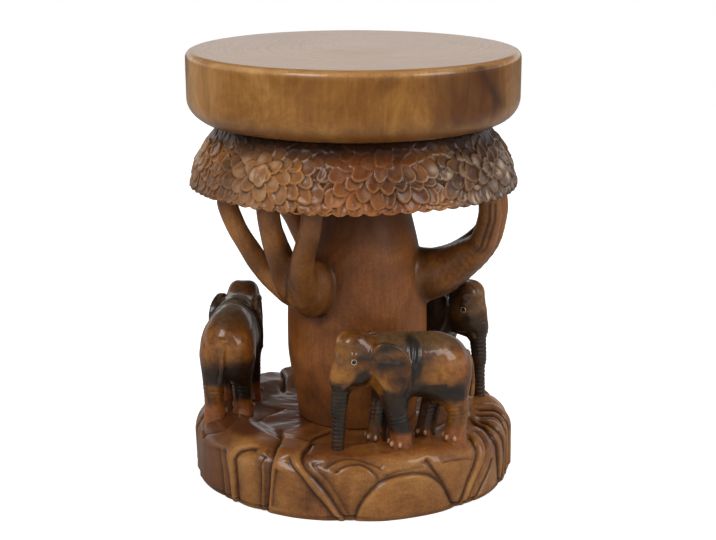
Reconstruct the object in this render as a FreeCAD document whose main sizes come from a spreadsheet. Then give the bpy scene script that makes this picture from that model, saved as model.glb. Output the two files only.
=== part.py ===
import FreeCAD, Part
import math
import os

import Sketcher

Vector = FreeCAD.Vector
Z_AXIS = Vector(0, 0, 1)
QUARTER_TURN = 90

# A round stool carved as a tree: a slab seat on a dome of leaves, a stem with three forks of
# branches, and a mound of roots on which three elephants walk round the tree.
# The frame's origin is the centre of the floor face, +Z is up and -Y is the front.

# Driving sizes in millimetres and degrees. Counts have a name that ends in count.
SIZES = (
    # Seat slab
    ("seat_radius", 172),
    ("seat_thickness", 72.8),
    ("seat_bevel_reach", 31.5),
    ("seat_bevel_height", 23.6),
    ("seat_bevel_roundness", 49),
    ("seat_edge_round", 9),
    # Dome of leaves
    ("canopy_inset", 0.5),
    ("canopy_height", 66.5),
    ("canopy_rim_height", 5),
    ("leaf_roundness", 60),
    ("leaf_step", 2),
    ("scallop_count", 30),
    ("scallop_radius", 7),
    ("scallop_depth", 3.5),
    ("scallop_height", 16),
    # Stem
    ("stem_clear_height", 243.5),
    ("stem_foot_radius", 64),
    ("stem_waist_radius", 75),
    ("stem_waist_height", 95),
    ("stem_neck_radius", 48),
    ("stem_offset", 4),
    ("tenon_radius", 26),
    ("tenon_length", 34),
    # Root mound
    ("base_radius", 171),
    ("base_height", 67),
    ("base_shoulder_drop", 24),
    ("base_shoulder_reach", 30),
    ("base_dish_depth", 7),
    ("base_rim_reach", 46),
    ("base_dish_reach", 25),
    ("base_toe_height", 5),
    ("base_toe_inset", 3.5),
    ("fold_depth", 3.6),
    ("fold_width", 12),
    # Forks of branches
    ("limb_root_radius", 20),
    ("limb_tip_radius", 10.5),
    ("limb_tip_inset", 21.5),
    ("limb_root_drop", 103),
    ("limb_spread_angle", 20),
    ("arm_root_radius", 27),
    ("arm_spread_angle", 16),
    ("fork_lobe_height", 67),
    ("left_lobe_width", 44),
    ("right_lobe_width", 54),
    ("rear_lobe_width", 54),
    ("fork_left_angle", -125),
    ("fork_right_angle", -3),
    ("fork_rear_angle", 115),
    # Elephants
    ("elephant_length", 145),
    ("elephant_height", 118),
    ("elephant_width", 55),
    ("ear_angle", 14),
    ("front_place_angle", -65),
    ("front_turn_angle", 7),
    ("left_place_angle", 175),
    ("left_turn_angle", 2),
    ("left_rim_gap", 43),
    ("right_place_angle", 43),
    ("right_turn_angle", -12),
    ("right_stem_gap", 34),
    # Inlaid eyes and hidden joinery
    ("eye_radius", 2.8),
    ("dowel_radius", 5),
    ("dowel_length", 50),
    ("seat_dowel_circle", 100),
    ("seat_dowel_count", 4),
    ("limb_dowel_length", 38),
    ("peg_radius", 4),
    ("peg_length", 36),
    # Line of glue left between two pieces
    ("glue_gap", 0.2),
)

doc = FreeCAD.newDocument("ElephantStool")
sheet = doc.addObject("Spreadsheet::Sheet", "Sizes")
for row, (alias, value) in enumerate(SIZES, start=1):
    sheet.set(f"A{row}", alias)
    sheet.set(f"B{row}", str(value))
    sheet.setAlias(f"B{row}", alias)
doc.recompute()


def size(expression):
    """Value of an expression of the sheet's sizes."""
    return float(sheet.evalExpression(expression))


def bound(text):
    """The same expression as another object of the document writes it."""
    words = sorted((alias for alias, value in SIZES), key=len, reverse=True)
    for number, word in enumerate(words):
        text = text.replace(word, f"<{number}>")
    for number, word in enumerate(words):
        text = text.replace(f"<{number}>", f"Sizes.{word}")
    return text


def plane(body, role):
    """One of the body's own origin planes."""
    return next(item for item in body.Origin.OriginFeatures if item.Role == role)


def sketch_on(body, name, role, offset="0"):
    """Empty sketch on an origin plane, lifted along the plane's normal by an expression."""
    sketch = body.newObject("Sketcher::SketchObject", name)
    sketch.AttachmentSupport = [(plane(body, role), "")]
    sketch.MapMode = "FlatFace"
    sketch.setExpression("AttachmentOffset.Base.z", bound(offset))
    return sketch


def arc_through(start, end, radius):
    """Short arc between two points, bulging to the right of the way from start to end."""
    chord = end - start
    middle = (start + end) / 2
    reach = math.sqrt(radius ** 2 - (chord.Length / 2) ** 2)
    left = Vector(-chord.y, chord.x, 0).normalize()
    centre = middle + left * reach
    first = math.atan2(start.y - centre.y, start.x - centre.x)
    last = math.atan2(end.y - centre.y, end.x - centre.x)
    return Part.ArcOfCircle(Part.Circle(centre, Z_AXIS, radius), first, last)


def pin_point(sketch, edge, across, up, number):
    """Ties the first point of an edge to the sketch's two axes."""
    for kind, axis, text in (("DistanceX", -2, across), ("DistanceY", -1, up)):
        if text == "0":
            sketch.addConstraint(Sketcher.Constraint("PointOnObject", edge, 1, axis))
        else:
            sketch.addConstraint(Sketcher.Constraint(kind, -1, 1, edge, 1, size(text)))
            label = f"{kind}_{number}"
            sketch.renameConstraint(sketch.ConstraintCount - 1, label)
            sketch.setExpression(f"Constraints.{label}", bound(text))


def turned_body(name, outline):
    """Body turned about the upright axis.

    Each entry of the outline is the distance from the axis, the height, and the radius of the
    arc that leads on from that point, or None for a straight edge. The outline runs
    anticlockwise, out along the underside and back in along the top.
    """
    body = doc.addObject("PartDesign::Body", name)
    sketch = sketch_on(body, name + "_outline", "XZ_Plane")
    points = [Vector(size(across), size(up), 0) for across, up, radius in outline]
    edges = []
    for number, (across, up, radius) in enumerate(outline):
        start = points[number]
        end = points[(number + 1) % len(points)]
        if radius is None:
            edges.append(sketch.addGeometry(Part.LineSegment(start, end)))
        else:
            edges.append(sketch.addGeometry(arc_through(start, end, size(radius))))
    for number, edge in enumerate(edges):
        follower = edges[(number + 1) % len(edges)]
        sketch.addConstraint(Sketcher.Constraint("Coincident", edge, 2, follower, 1))
    for number, (across, up, radius) in enumerate(outline):
        pin_point(sketch, edges[number], across, up, number)
        if radius is not None:
            sketch.addConstraint(Sketcher.Constraint("Radius", edges[number], size(radius)))
            sketch.renameConstraint(sketch.ConstraintCount - 1, f"Arc_{number}")
            sketch.setExpression(f"Constraints.Arc_{number}", bound(radius))
    turned = body.newObject("PartDesign::Revolution", name + "_turned")
    turned.Profile = sketch
    turned.ReferenceAxis = (sketch, ["V_Axis"])
    turned.Angle = 360
    doc.recompute()
    return body


def round_pocket(body, name, place, radius, height, depth, upward, turn=0):
    """Round hole sunk from a level plane.

    Its place is the distance from the upright axis, at the given turn from X.
    """
    before = body.Shape.Volume
    sketch = sketch_on(body, name + "_outline", "XY_Plane", height)
    sketch.AttachmentOffset = FreeCAD.Placement(Vector(0, 0, size(height)),
                                                FreeCAD.Rotation(Z_AXIS, turn))
    circle = sketch.addGeometry(Part.Circle(Vector(size(place), 0, 0), Z_AXIS, size(radius)))
    sketch.addConstraint(Sketcher.Constraint("Radius", circle, size(radius)))
    sketch.renameConstraint(sketch.ConstraintCount - 1, "Bore")
    sketch.setExpression("Constraints.Bore", bound(radius))
    sketch.addConstraint(Sketcher.Constraint("PointOnObject", circle, 3, -1))
    sketch.addConstraint(Sketcher.Constraint("DistanceX", -1, 1, circle, 3, size(place)))
    sketch.renameConstraint(sketch.ConstraintCount - 1, "Reach")
    sketch.setExpression("Constraints.Reach", bound(place))
    pocket = body.newObject("PartDesign::Pocket", name)
    pocket.Profile = sketch
    pocket.setExpression("Length", bound(depth))
    pocket.Reversed = upward
    doc.recompute()
    if body.Shape.Volume >= before:
        raise RuntimeError(name + " cuts nothing")
    return pocket, sketch


def repeat_round(body, name, feature, sketch, count):
    """Repeats a feature evenly round the upright axis."""
    pattern = body.newObject("PartDesign::PolarPattern", name)
    pattern.Originals = [feature]
    pattern.Axis = (sketch, ["N_Axis"])
    pattern.Angle = 360
    pattern.setExpression("Occurrences", bound(count))
    body.Tip = pattern
    doc.recompute()


def soft_sections(stations):
    """Closed smooth solid through ellipses: each station is a centre, a way, and two half sizes."""
    wires = []
    for centre, way, level, half_side, half_rise in stations:
        way = Vector(way).normalize()
        side = (level - way * level.dot(way)).normalize()
        rise = way.cross(side)
        place = FreeCAD.Matrix(
            side.x * half_side, rise.x * half_rise, way.x, centre.x,
            side.y * half_side, rise.y * half_rise, way.y, centre.y,
            side.z * half_side, rise.z * half_rise, way.z, centre.z,
            0, 0, 0, 1)
        ring = Part.Circle(Vector(0, 0, 0), Z_AXIS, 1).toShape().transformGeometry(place)
        wires.append(Part.Wire(ring.Edges))
    return Part.makeLoft(wires, True, False)


def ellipsoid(centre, half_x, half_y, half_z, turn=0):
    """Solid ellipsoid, turned about the upright line through its centre."""
    scale = FreeCAD.Matrix()
    scale.scale(half_x, half_y, half_z)
    solid = Part.makeSphere(1).transformGeometry(scale)
    solid.rotate(Vector(0, 0, 0), Z_AXIS, turn)
    solid.translate(centre)
    return solid


def one_solid(shape, name):
    """The shape as its single solid."""
    if len(shape.Solids) != 1:
        raise RuntimeError(f"{name} has {len(shape.Solids)} solids")
    return shape.Solids[0]


def feature(name, shape, placement=None):
    """Document object for a shape that no parametric feature describes."""
    item = doc.addObject("Part::Feature", name)
    item.Shape = shape
    if placement is not None:
        item.Placement = placement
    return item


def cut_object(name, base, tool):
    """Difference of two objects of the document."""
    item = doc.addObject("Part::Cut", name)
    item.Base = base
    item.Tool = tool
    doc.recompute()
    return item


# Sizes shared by the pieces
CROWN_RADIUS = "(seat_radius - seat_bevel_reach)"
CANOPY_RADIUS = "(seat_radius - canopy_inset)"
LIMB_TIP_CIRCLE = CANOPY_RADIUS + " - limb_tip_inset"
DISH_RADIUS = "base_radius - base_rim_reach - base_dish_reach"
CANOPY_FOOT = "base_height + stem_clear_height"
CANOPY_TOP = CANOPY_FOOT + " + canopy_height"
DISH_FLOOR = "(base_height - base_dish_depth)"
glue_gap = size("glue_gap")
canopy_foot = size(CANOPY_FOOT)
canopy_top = size(CANOPY_TOP)
base_height = size("base_height")

# Root mound: a turned block with a soft shoulder and a shallow dish round the stem
base_body = turned_body("base_block", (
    ("0", "0", None),
    ("base_radius - base_toe_inset", "0", None),
    ("base_radius", "base_toe_height", None),
    ("base_radius", "base_height - base_shoulder_drop",
     "(base_shoulder_drop ^ 2 + base_shoulder_reach ^ 2) / (2 * base_shoulder_reach)"),
    ("base_radius - base_shoulder_reach", "base_height", None),
    ("base_radius - base_rim_reach", "base_height", None),
    (DISH_RADIUS, DISH_FLOOR, None),
    ("0", DISH_FLOOR, None),
))
round_pocket(base_body, "stem_mortise", "stem_offset", "tenon_radius + glue_gap", DISH_FLOOR,
             "tenon_length + glue_gap", False)

# Folds of the roots: lens-shaped cuts in the mound's wall and over its shoulder. Each row gives
# the turn round the mound, the height, the lean to the side and half the cut's length; heights
# and lengths are shares of the mound's height. The back repeats the front in mirror image.
WALL_FOLD_SHARES = (
    (-164, 0.45, 2, 0.50),
    (-143, 0.42, 4, 0.50),
    (-135.5, 0.50, 2, 0.55),
    (-121, 0.50, -1, 0.60),
    (-103, 0.45, 44, 0.72),
    (-87.5, 0.25, -10, 0.33),
    (-81, 0.58, -48, 0.25),
    (-70.5, 0.73, 90, 0.28),
    (-61, 0.58, 48, 0.25),
    (-54.5, 0.25, 12, 0.33),
    (-44, 0.50, -30, 0.62),
    (-24, 0.50, 3, 0.60),
    (-11, 0.55, -2, 0.60),
)
SHOULDER_FOLD_SHARES = (
    (-148, 0.93, 20, 0.42),
    (-122, 0.93, 12, 0.50),
    (-109, 0.93, 4, 0.50),
    (-36, 0.93, -10, 0.50),
    (-19, 0.93, -6, 0.50),
)
# Slope of a shoulder fold from upright, and how far in from the wall it lies
SHOULDER_FOLD_ANGLE = 55
SHOULDER_INSET_SHARE = 0.4


def fold_cut(shares, slope, inset, hand):
    """Lens-shaped cut that follows the mound's wall or shoulder."""
    turn, height_share, lean, length_share = shares
    lens = ellipsoid(Vector(0, 0, 0), size("fold_depth"), size("fold_width") / 2,
                     base_height * length_share)
    lens.rotate(Vector(0, 0, 0), Vector(1, 0, 0), lean * hand)
    lens.rotate(Vector(0, 0, 0), Vector(0, 1, 0), -slope)
    lens.translate(Vector(size("base_radius") - inset, 0, base_height * height_share))
    lens.rotate(Vector(0, 0, 0), Z_AXIS, turn * hand)
    return lens


folds = []
for hand in (1, -1):
    for shares in WALL_FOLD_SHARES:
        folds.append(fold_cut(shares, 0, 0, hand))
    for shares in SHOULDER_FOLD_SHARES:
        inset = size("base_shoulder_reach") * SHOULDER_INSET_SHARE
        folds.append(fold_cut(shares, SHOULDER_FOLD_ANGLE, inset, hand))
carved_mound = base_body.Shape.copy()
for lens in folds:
    carved_mound = carved_mound.cut(lens)
carved_base = feature("carved_base", one_solid(carved_mound, "mound"))

# Stem: a barrel that narrows to its neck, with a round tenon at each end.
# Its own origin is the centre of its foot, on the dish's floor.
STEM_LENGTH = "(stem_clear_height + base_dish_depth - 2 * glue_gap)"
WAIST_TO_NECK = f"({STEM_LENGTH} - stem_waist_height)"
FOOT_NARROWING = "(stem_waist_radius - stem_foot_radius)"
NECK_NARROWING = "(stem_waist_radius - stem_neck_radius)"
stem_body = turned_body("stem_block", (
    ("0", "-tenon_length", None),
    ("tenon_radius", "-tenon_length", None),
    ("tenon_radius", "0", None),
    ("stem_foot_radius", "0",
     f"({FOOT_NARROWING} ^ 2 + stem_waist_height ^ 2) / (2 * {FOOT_NARROWING})"),
    ("stem_waist_radius", "stem_waist_height",
     f"({NECK_NARROWING} ^ 2 + {WAIST_TO_NECK} ^ 2) / (2 * {NECK_NARROWING})"),
    ("stem_neck_radius", STEM_LENGTH, None),
    ("tenon_radius", STEM_LENGTH, None),
    ("tenon_radius", STEM_LENGTH + " + tenon_length", None),
    ("0", STEM_LENGTH + " + tenon_length", None),
))
stem_body.setExpression("Placement.Base.x", bound("stem_offset"))
stem_body.setExpression("Placement.Base.z", bound(DISH_FLOOR + " + glue_gap"))
doc.recompute()

# Dome of leaves: three rows that overlap like shingles, with a mortise for the stem and bores
# for the dowels. The lower edge of each upper row lies at shares of the dome's height and of
# its way in from rim to crown.
ROW_SHARES = ((0.32, 0.145), (0.62, 0.45))
DOME_REACH = "(seat_bevel_reach - canopy_inset)"
ROW_EDGES = [(f"({CANOPY_RADIUS} - {inward_share} * {DOME_REACH})", f"{height_share} * canopy_height")
             for height_share, inward_share in ROW_SHARES]
dome_outline = [
    ("0", "0", None),
    (CANOPY_RADIUS, "0", None),
    (CANOPY_RADIUS, "canopy_rim_height", "leaf_roundness"),
]
for row_radius, row_height in ROW_EDGES:
    dome_outline.append((row_radius + " - leaf_step", row_height, None))
    dome_outline.append((row_radius, row_height, "leaf_roundness"))
dome_outline.append((CROWN_RADIUS, "canopy_height", None))
dome_outline.append(("0", "canopy_height", None))
canopy = turned_body("canopy", dome_outline)
canopy.setExpression("Placement.Base.z", bound(CANOPY_FOOT))

# Notches between the tips of neighbouring leaves, every other row shifted by half a leaf
for row, (row_radius, row_height) in enumerate([(CANOPY_RADIUS, "0"), *ROW_EDGES]):
    half_leaf = 180 / size("scallop_count")
    notch, notch_sketch = round_pocket(
        canopy, f"notch_{row}", row_radius + " + scallop_radius - scallop_depth",
        "scallop_radius", row_height, "scallop_height", True, half_leaf * (row % 2))
    repeat_round(canopy, f"notches_{row}", notch, notch_sketch, "scallop_count")
round_pocket(canopy, "neck_mortise", "stem_offset", "tenon_radius + glue_gap", "0",
             "tenon_length + glue_gap", True)
bore, bore_sketch = round_pocket(
    canopy, "canopy_bore", "seat_dowel_circle", "dowel_radius + glue_gap", "canopy_height",
    "dowel_length / 2 + glue_gap", False)
repeat_round(canopy, "canopy_bores", bore, bore_sketch, "seat_dowel_count")

# Seat: a thick slab with a rounded upper edge and a curved underside
seat = turned_body("seat", (
    ("0", "0", None),
    (CROWN_RADIUS, "0", "seat_bevel_roundness"),
    ("seat_radius", "seat_bevel_height", None),
    ("seat_radius", "seat_thickness", None),
    ("0", "seat_thickness", None),
))
seat.setExpression("Placement.Base.z", bound(CANOPY_TOP + " + glue_gap"))
doc.recompute()
turned_seat = seat.Tip
top_edges = [
    f"Edge{number}" for number, edge in enumerate(turned_seat.Shape.Edges, start=1)
    if edge.Closed and edge.BoundBox.ZLength < glue_gap
    and abs(edge.BoundBox.Center.z - size("seat_thickness")) < glue_gap
]
rounding = seat.newObject("PartDesign::Fillet", "seat_rounding")
rounding.Base = (turned_seat, top_edges)
rounding.setExpression("Radius", bound("seat_edge_round"))
doc.recompute()
bore, bore_sketch = round_pocket(
    seat, "seat_bore", "seat_dowel_circle", "dowel_radius + glue_gap", "0",
    "dowel_length / 2 + glue_gap", True)
repeat_round(seat, "seat_bores", bore, bore_sketch, "seat_dowel_count")

# Hidden dowels between seat and canopy
dowels = []
for number in range(int(size("seat_dowel_count"))):
    turn = math.radians(number * 360 / size("seat_dowel_count"))
    reach = size("seat_dowel_circle")
    foot = Vector(reach * math.cos(turn), reach * math.sin(turn), -size("dowel_length") / 2)
    dowels.append(Part.makeCylinder(size("dowel_radius"), size("dowel_length"), foot))
feature("seat_dowels", Part.makeCompound(dowels),
        FreeCAD.Placement(Vector(0, 0, canopy_top + glue_gap / 2), FreeCAD.Rotation()))

# Forks of branches. Each is modelled with its middle branch over the X axis and turned into
# place. A branch is a row of rings whose places are shares: along the way out from the stem to
# the tip circle, up from the fork's foot to the canopy, of the branch's spread, and of its taper.
# The left and the rear fork part early into slim branches.
BRANCH_SHARES = (
    (0.00, 0.00, 0.30, 0.00),
    (0.40, 0.18, 0.45, 0.18),
    (0.68, 0.37, 0.68, 0.50),
    (0.88, 0.61, 0.88, 0.75),
    (0.99, 0.86, 0.98, 0.95),
    (1.00, 1.04, 1.00, 1.00),
)
# The right fork is a stout arm that parts late
ARM_SHARES = (
    (0.00, 0.00, 0.20, 0.00),
    (0.39, 0.02, 0.25, 0.00),
    (0.65, 0.19, 0.45, 0.45),
    (0.88, 0.42, 0.76, 0.77),
    (0.98, 0.72, 0.97, 0.91),
    (1.00, 1.04, 1.00, 1.00),
)
# The fork's root is a lobe on the stem: its depth and lift are shares of its height
LOBE_DEPTH_SHARE = 0.36
LOBE_OUT_SHARE = 0.97
LOBE_LIFT_SHARES = {"left": 0.07, "right": 0, "rear": 0.07}
# Share of a fork's dowel that sits in the stem
DOWEL_IN_STEM_SHARE = 0.68
stem_shape = stem_body.Shape.copy()
stem_grown = one_solid(stem_shape, "stem").makeOffsetShape(glue_gap, glue_gap / 10)


def ways_along(points):
    """Direction of a row of points at each of them, from its neighbours."""
    return [after - before for before, after in zip(points[:1] + points, points[1:] + points[-1:])]


def branch(row_shares, root_radius, turn, foot_height):
    """Tapered branch whose tip stands at the given turn from the fork's middle."""
    start = size("stem_waist_radius") - root_radius
    way_out = size(LIMB_TIP_CIRCLE) - start
    rise = canopy_foot - foot_height
    narrowing = root_radius - size("limb_tip_radius")
    points = []
    for out_share, up_share, spread_share, taper_share in row_shares:
        angle = math.radians(turn * spread_share)
        reach = start + way_out * out_share
        points.append(Vector(reach * math.cos(angle), reach * math.sin(angle),
                             foot_height + rise * up_share))
    stations = []
    for point, way, shares in zip(points, ways_along(points), row_shares):
        level = Vector(-point.y, point.x, 0)
        radius = root_radius - narrowing * shares[-1]
        stations.append((point, way, level, radius, radius))
    return soft_sections(stations)


def fork(side, row_shares, root_radius, spread):
    """Three branches on one root, cut to fit the stem and the canopy."""
    foot_height = canopy_foot - size("limb_root_drop")
    lobe_height = size("fork_lobe_height")
    lobe_centre = Vector(size("stem_waist_radius") * LOBE_OUT_SHARE, 0,
                         foot_height + lobe_height * LOBE_LIFT_SHARES[side])
    parts = [branch(row_shares, root_radius, turn, foot_height) for turn in (-spread, 0, spread)]
    lobe = ellipsoid(lobe_centre, lobe_height * LOBE_DEPTH_SHARE, size(side + "_lobe_width") / 2,
                     lobe_height / 2)
    placement = FreeCAD.Placement(Vector(0, 0, 0),
                                  FreeCAD.Rotation(Z_AXIS, size(f"fork_{side}_angle")))
    shape = lobe.fuse(parts)
    stem_tool = stem_grown.copy()
    stem_tool.Placement = placement.inverse().multiply(stem_tool.Placement)
    lid_size = size(CANOPY_RADIUS) * 2
    lid = Part.makeBox(lid_size, lid_size, lid_size,
                       Vector(-lid_size / 2, -lid_size / 2, canopy_foot - glue_gap))
    shape = shape.cut([stem_tool, lid])
    solids = sorted(shape.Solids, key=lambda solid: solid.Volume)
    return solids[-1], placement, foot_height


fork_kinds = (
    ("left", BRANCH_SHARES, size("limb_root_radius"), size("limb_spread_angle")),
    ("right", ARM_SHARES, size("arm_root_radius"), size("arm_spread_angle")),
    ("rear", BRANCH_SHARES, size("limb_root_radius"), size("limb_spread_angle")),
)
limb_dowel_list = []
limb_bore_list = []
for side, row_shares, root_radius, spread in fork_kinds:
    solid, placement, foot_height = fork(side, row_shares, root_radius, spread)
    turn = math.radians(size(f"fork_{side}_angle"))
    outward = Vector(math.cos(turn), math.sin(turn), 0)
    length = size("limb_dowel_length")
    start = outward * (size("stem_waist_radius") - length * DOWEL_IN_STEM_SHARE)
    start += Z_AXIS * foot_height
    dowel = Part.makeCylinder(size("dowel_radius"), length, start, outward)
    bore = Part.makeCylinder(size("dowel_radius") + glue_gap, length + 2 * glue_gap,
                             start - outward * glue_gap, outward)
    limb_dowel_list.append(dowel)
    limb_bore_list.append(bore)
    own_bore = bore.copy()
    own_bore.Placement = placement.inverse().multiply(own_bore.Placement)
    feature("limbs_" + side, one_solid(solid.cut(own_bore), "limbs_" + side), placement)
feature("limb_dowels", Part.makeCompound(limb_dowel_list))
limb_bores = feature("limb_bores", Part.makeCompound(limb_bore_list))
cut_object("trunk", stem_body, limb_bores)

# Elephants. Each is modelled with its ground point at the origin, X towards its head and Y to
# its left, and stands with its left side outwards. Places are shares of its length, its
# width and its height.
# Masses of the body: forward, side, height, half length, half width, half height
BODY_SHARES = (
    (-0.262, 0, 0.62, 0.225, 0.47, 0.265),
    (-0.083, 0, 0.67, 0.315, 0.49, 0.285),
    (0.097, 0, 0.71, 0.195, 0.44, 0.245),
    (-0.290, 0.22, 0.51, 0.150, 0.25, 0.210),
    (-0.262, -0.22, 0.51, 0.150, 0.25, 0.210),
    (0.115, 0.22, 0.53, 0.120, 0.25, 0.200),
    (0.130, -0.22, 0.53, 0.120, 0.25, 0.200),
)
# Proboscis rings from the brow to the ground: forward, height, radius
SNOUT_SHARES = (
    (0.420, 0.76, 0.115),
    (0.470, 0.60, 0.100),
    (0.485, 0.44, 0.080),
    (0.478, 0.28, 0.066),
    (0.478, 0.12, 0.058),
    (0.490, -0.06, 0.052),
)
# Legs: forward at the top and at the ground, side, height of the top, radius at top and ground
LEG_SHARES = (
    (0.125, 0.062, 0.22, 0.50, 0.108, 0.098),
    (0.125, 0.170, -0.22, 0.50, 0.108, 0.092),
    (-0.320, -0.340, 0.22, 0.50, 0.112, 0.100),
    (-0.290, -0.195, -0.22, 0.50, 0.112, 0.095),
)
# The near front foot and the far hind foot each stand on a peg
PEGGED_LEG_SHARES = (LEG_SHARES[0], LEG_SHARES[-1])
SKULL_SHARES = (0.345, 0, 0.78, 0.172, 0.345, 0.225)
JAW_SHARES = (0.350, 0, 0.585, 0.095, 0.185, 0.090)
EAR_SHARES = (0.165, 0.375, 0.70, 0.125, 0.075, 0.235)
EYE_PLACE_SHARES = (0.413, 0.79)
TAIL_SHARES = ((-0.462, 0.66, 0.022), (-0.482, 0.55, 0.024), (-0.480, 0.42, 0.020))
FOOT_SINK_SHARE = 0.16
# Where the front elephant stands between the stem and the mound's rim
FRONT_LEDGE_SHARE = 0.5

elephant_length = size("elephant_length")
elephant_width = size("elephant_width")
elephant_height = size("elephant_height")
ACROSS = Vector(0, 1, 0)


def in_elephant(forward_share, side_share, height_share):
    """Place in the elephant's own frame."""
    return Vector(elephant_length * forward_share, elephant_width * side_share,
                  elephant_height * height_share)


def ring_row(shares):
    """Round rings along the elephant's middle plane."""
    points = [in_elephant(forward, 0, height) for forward, height, radius in shares]
    stations = []
    for point, way, ring in zip(points, ways_along(points), shares):
        radius = elephant_height * ring[-1]
        stations.append((point, way, ACROSS, radius, radius))
    return soft_sections(stations)


def mass(shares, hand=1, turn=0):
    """Ellipsoid given by its place and its three half sizes, on the left or the right hand."""
    forward, side, height, half_length, half_width, half_height = shares
    return ellipsoid(in_elephant(forward, side * hand, height), elephant_length * half_length,
                     elephant_width * half_width, elephant_height * half_height, turn * hand)


def leg(shares):
    """Tapered leg that runs a little below the ground, to be cut to the mound."""
    top_forward, foot_forward, side, top_height, top_radius, foot_radius = shares
    top = in_elephant(top_forward, side, top_height)
    foot = in_elephant(foot_forward, side, -FOOT_SINK_SHARE)
    way = foot - top
    return Part.makeCone(elephant_height * top_radius, elephant_height * foot_radius,
                         way.Length, top, way)


def eye_centres():
    """Centres of the eye beads, on the skull's surface."""
    head_forward, head_side, head_height, half_length, half_width, half_height = SKULL_SHARES
    forward, height = EYE_PLACE_SHARES
    along = (forward - head_forward) / half_length
    above = (height - head_height) / half_height
    side = half_width * math.sqrt(1 - along ** 2 - above ** 2)
    return [(in_elephant(forward, side * hand, height), ACROSS * hand) for hand in (1, -1)]


def elephant_shape():
    """Whole elephant without the fit to the mound."""
    shape = mass(BODY_SHARES[0])
    parts = [mass(shares) for shares in BODY_SHARES[1:]]
    parts += [leg(shares) for shares in LEG_SHARES]
    parts += [mass(SKULL_SHARES), mass(JAW_SHARES)]
    parts += [mass(EAR_SHARES, hand, -size("ear_angle")) for hand in (1, -1)]
    parts += [ring_row(SNOUT_SHARES), ring_row(TAIL_SHARES)]
    for item in parts:
        shape = shape.fuse(item)
    socket_radius = size("eye_radius") + glue_gap
    for centre, outward in eye_centres():
        shape = shape.cut(Part.makeCylinder(socket_radius, elephant_width,
                                            centre - outward * socket_radius, outward))
    return one_solid(shape, "elephant")


def standing_place(angle, reach, turn_in):
    """Where an elephant stands on its circle; it walks clockwise and turns a little inwards."""
    turn = math.radians(angle)
    return FreeCAD.Placement(
        Vector(reach * math.cos(turn), reach * math.sin(turn), base_height),
        FreeCAD.Rotation(Z_AXIS, angle - QUARTER_TURN - turn_in))


stem_waist_radius = size("stem_waist_radius")
ledge_width = size("base_radius") - stem_waist_radius
circles = {
    "front": stem_waist_radius + ledge_width * FRONT_LEDGE_SHARE,
    "left": size("base_radius - left_rim_gap"),
    "right": stem_waist_radius + size("right_stem_gap"),
}
pegs = []
peg_bores = []
for foot_forward, side in (shares[1:3] for shares in PEGGED_LEG_SHARES):
    start = in_elephant(foot_forward, side, 0) - Z_AXIS * (size("peg_length") / 2)
    pegs.append(Part.makeCylinder(size("peg_radius"), size("peg_length"), start))
    peg_bores.append(Part.makeCylinder(size("peg_radius") + glue_gap,
                                       size("peg_length") + 2 * glue_gap,
                                       start - Z_AXIS * glue_gap))
plain_elephant = elephant_shape().cut(peg_bores)
beads = Part.makeCompound([Part.makeSphere(size("eye_radius"), centre)
                           for centre, outward in eye_centres()])
placed_pegs = []
placed_bores = []
for name, circle in circles.items():
    placement = standing_place(size(name + "_place_angle"), circle, size(name + "_turn_angle"))
    ground = base_body.Shape.copy()
    ground.translate(Z_AXIS * glue_gap)
    ground.Placement = placement.inverse().multiply(ground.Placement)
    standing = sorted(plain_elephant.cut(ground).Solids, key=lambda solid: solid.Volume)[-1]
    feature("elephant_" + name, standing, placement)
    feature("eyes_" + name, beads, placement)
    for shapes, placed in ((pegs, placed_pegs), (peg_bores, placed_bores)):
        for shape in shapes:
            copy = shape.copy()
            copy.Placement = placement.multiply(copy.Placement)
            placed.append(copy)
feature("foot_pegs", Part.makeCompound(placed_pegs))
base_bores = feature("base_bores", Part.makeCompound(placed_bores))
cut_object("base", carved_base, base_bores)

# Every sub-part under its own label
PIECES = ("seat", "canopy", "trunk", "base", "limbs_left", "limbs_right", "limbs_rear",
          "elephant_front", "elephant_left", "elephant_right", "eyes_front", "eyes_left",
          "eyes_right", "seat_dowels", "limb_dowels", "foot_pegs")
doc.recompute()
for item in doc.Objects:
    if "Invalid" in item.State or "Error" in item.State:
        raise RuntimeError(f"{item.Label} failed: {item.State}")
for label in PIECES:
    shape = doc.getObject(label).Shape
    if shape.isNull() or not shape.isValid():
        raise RuntimeError(label + " is not a valid solid")
os.makedirs("parts", exist_ok=True)
for label in PIECES:
    item = doc.getObject(label)
    item.Label = label
    item.Shape.exportStep(f"parts/{label}.step")
    box = item.Shape.BoundBox
    print(f"{label}: {len(item.Shape.Solids)} solids, {item.Shape.Volume / 1000:.1f} cm3, "
          f"x {box.XMin:.1f} {box.XMax:.1f}, y {box.YMin:.1f} {box.YMax:.1f}, "
          f"z {box.ZMin:.1f} {box.ZMax:.1f}")
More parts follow.
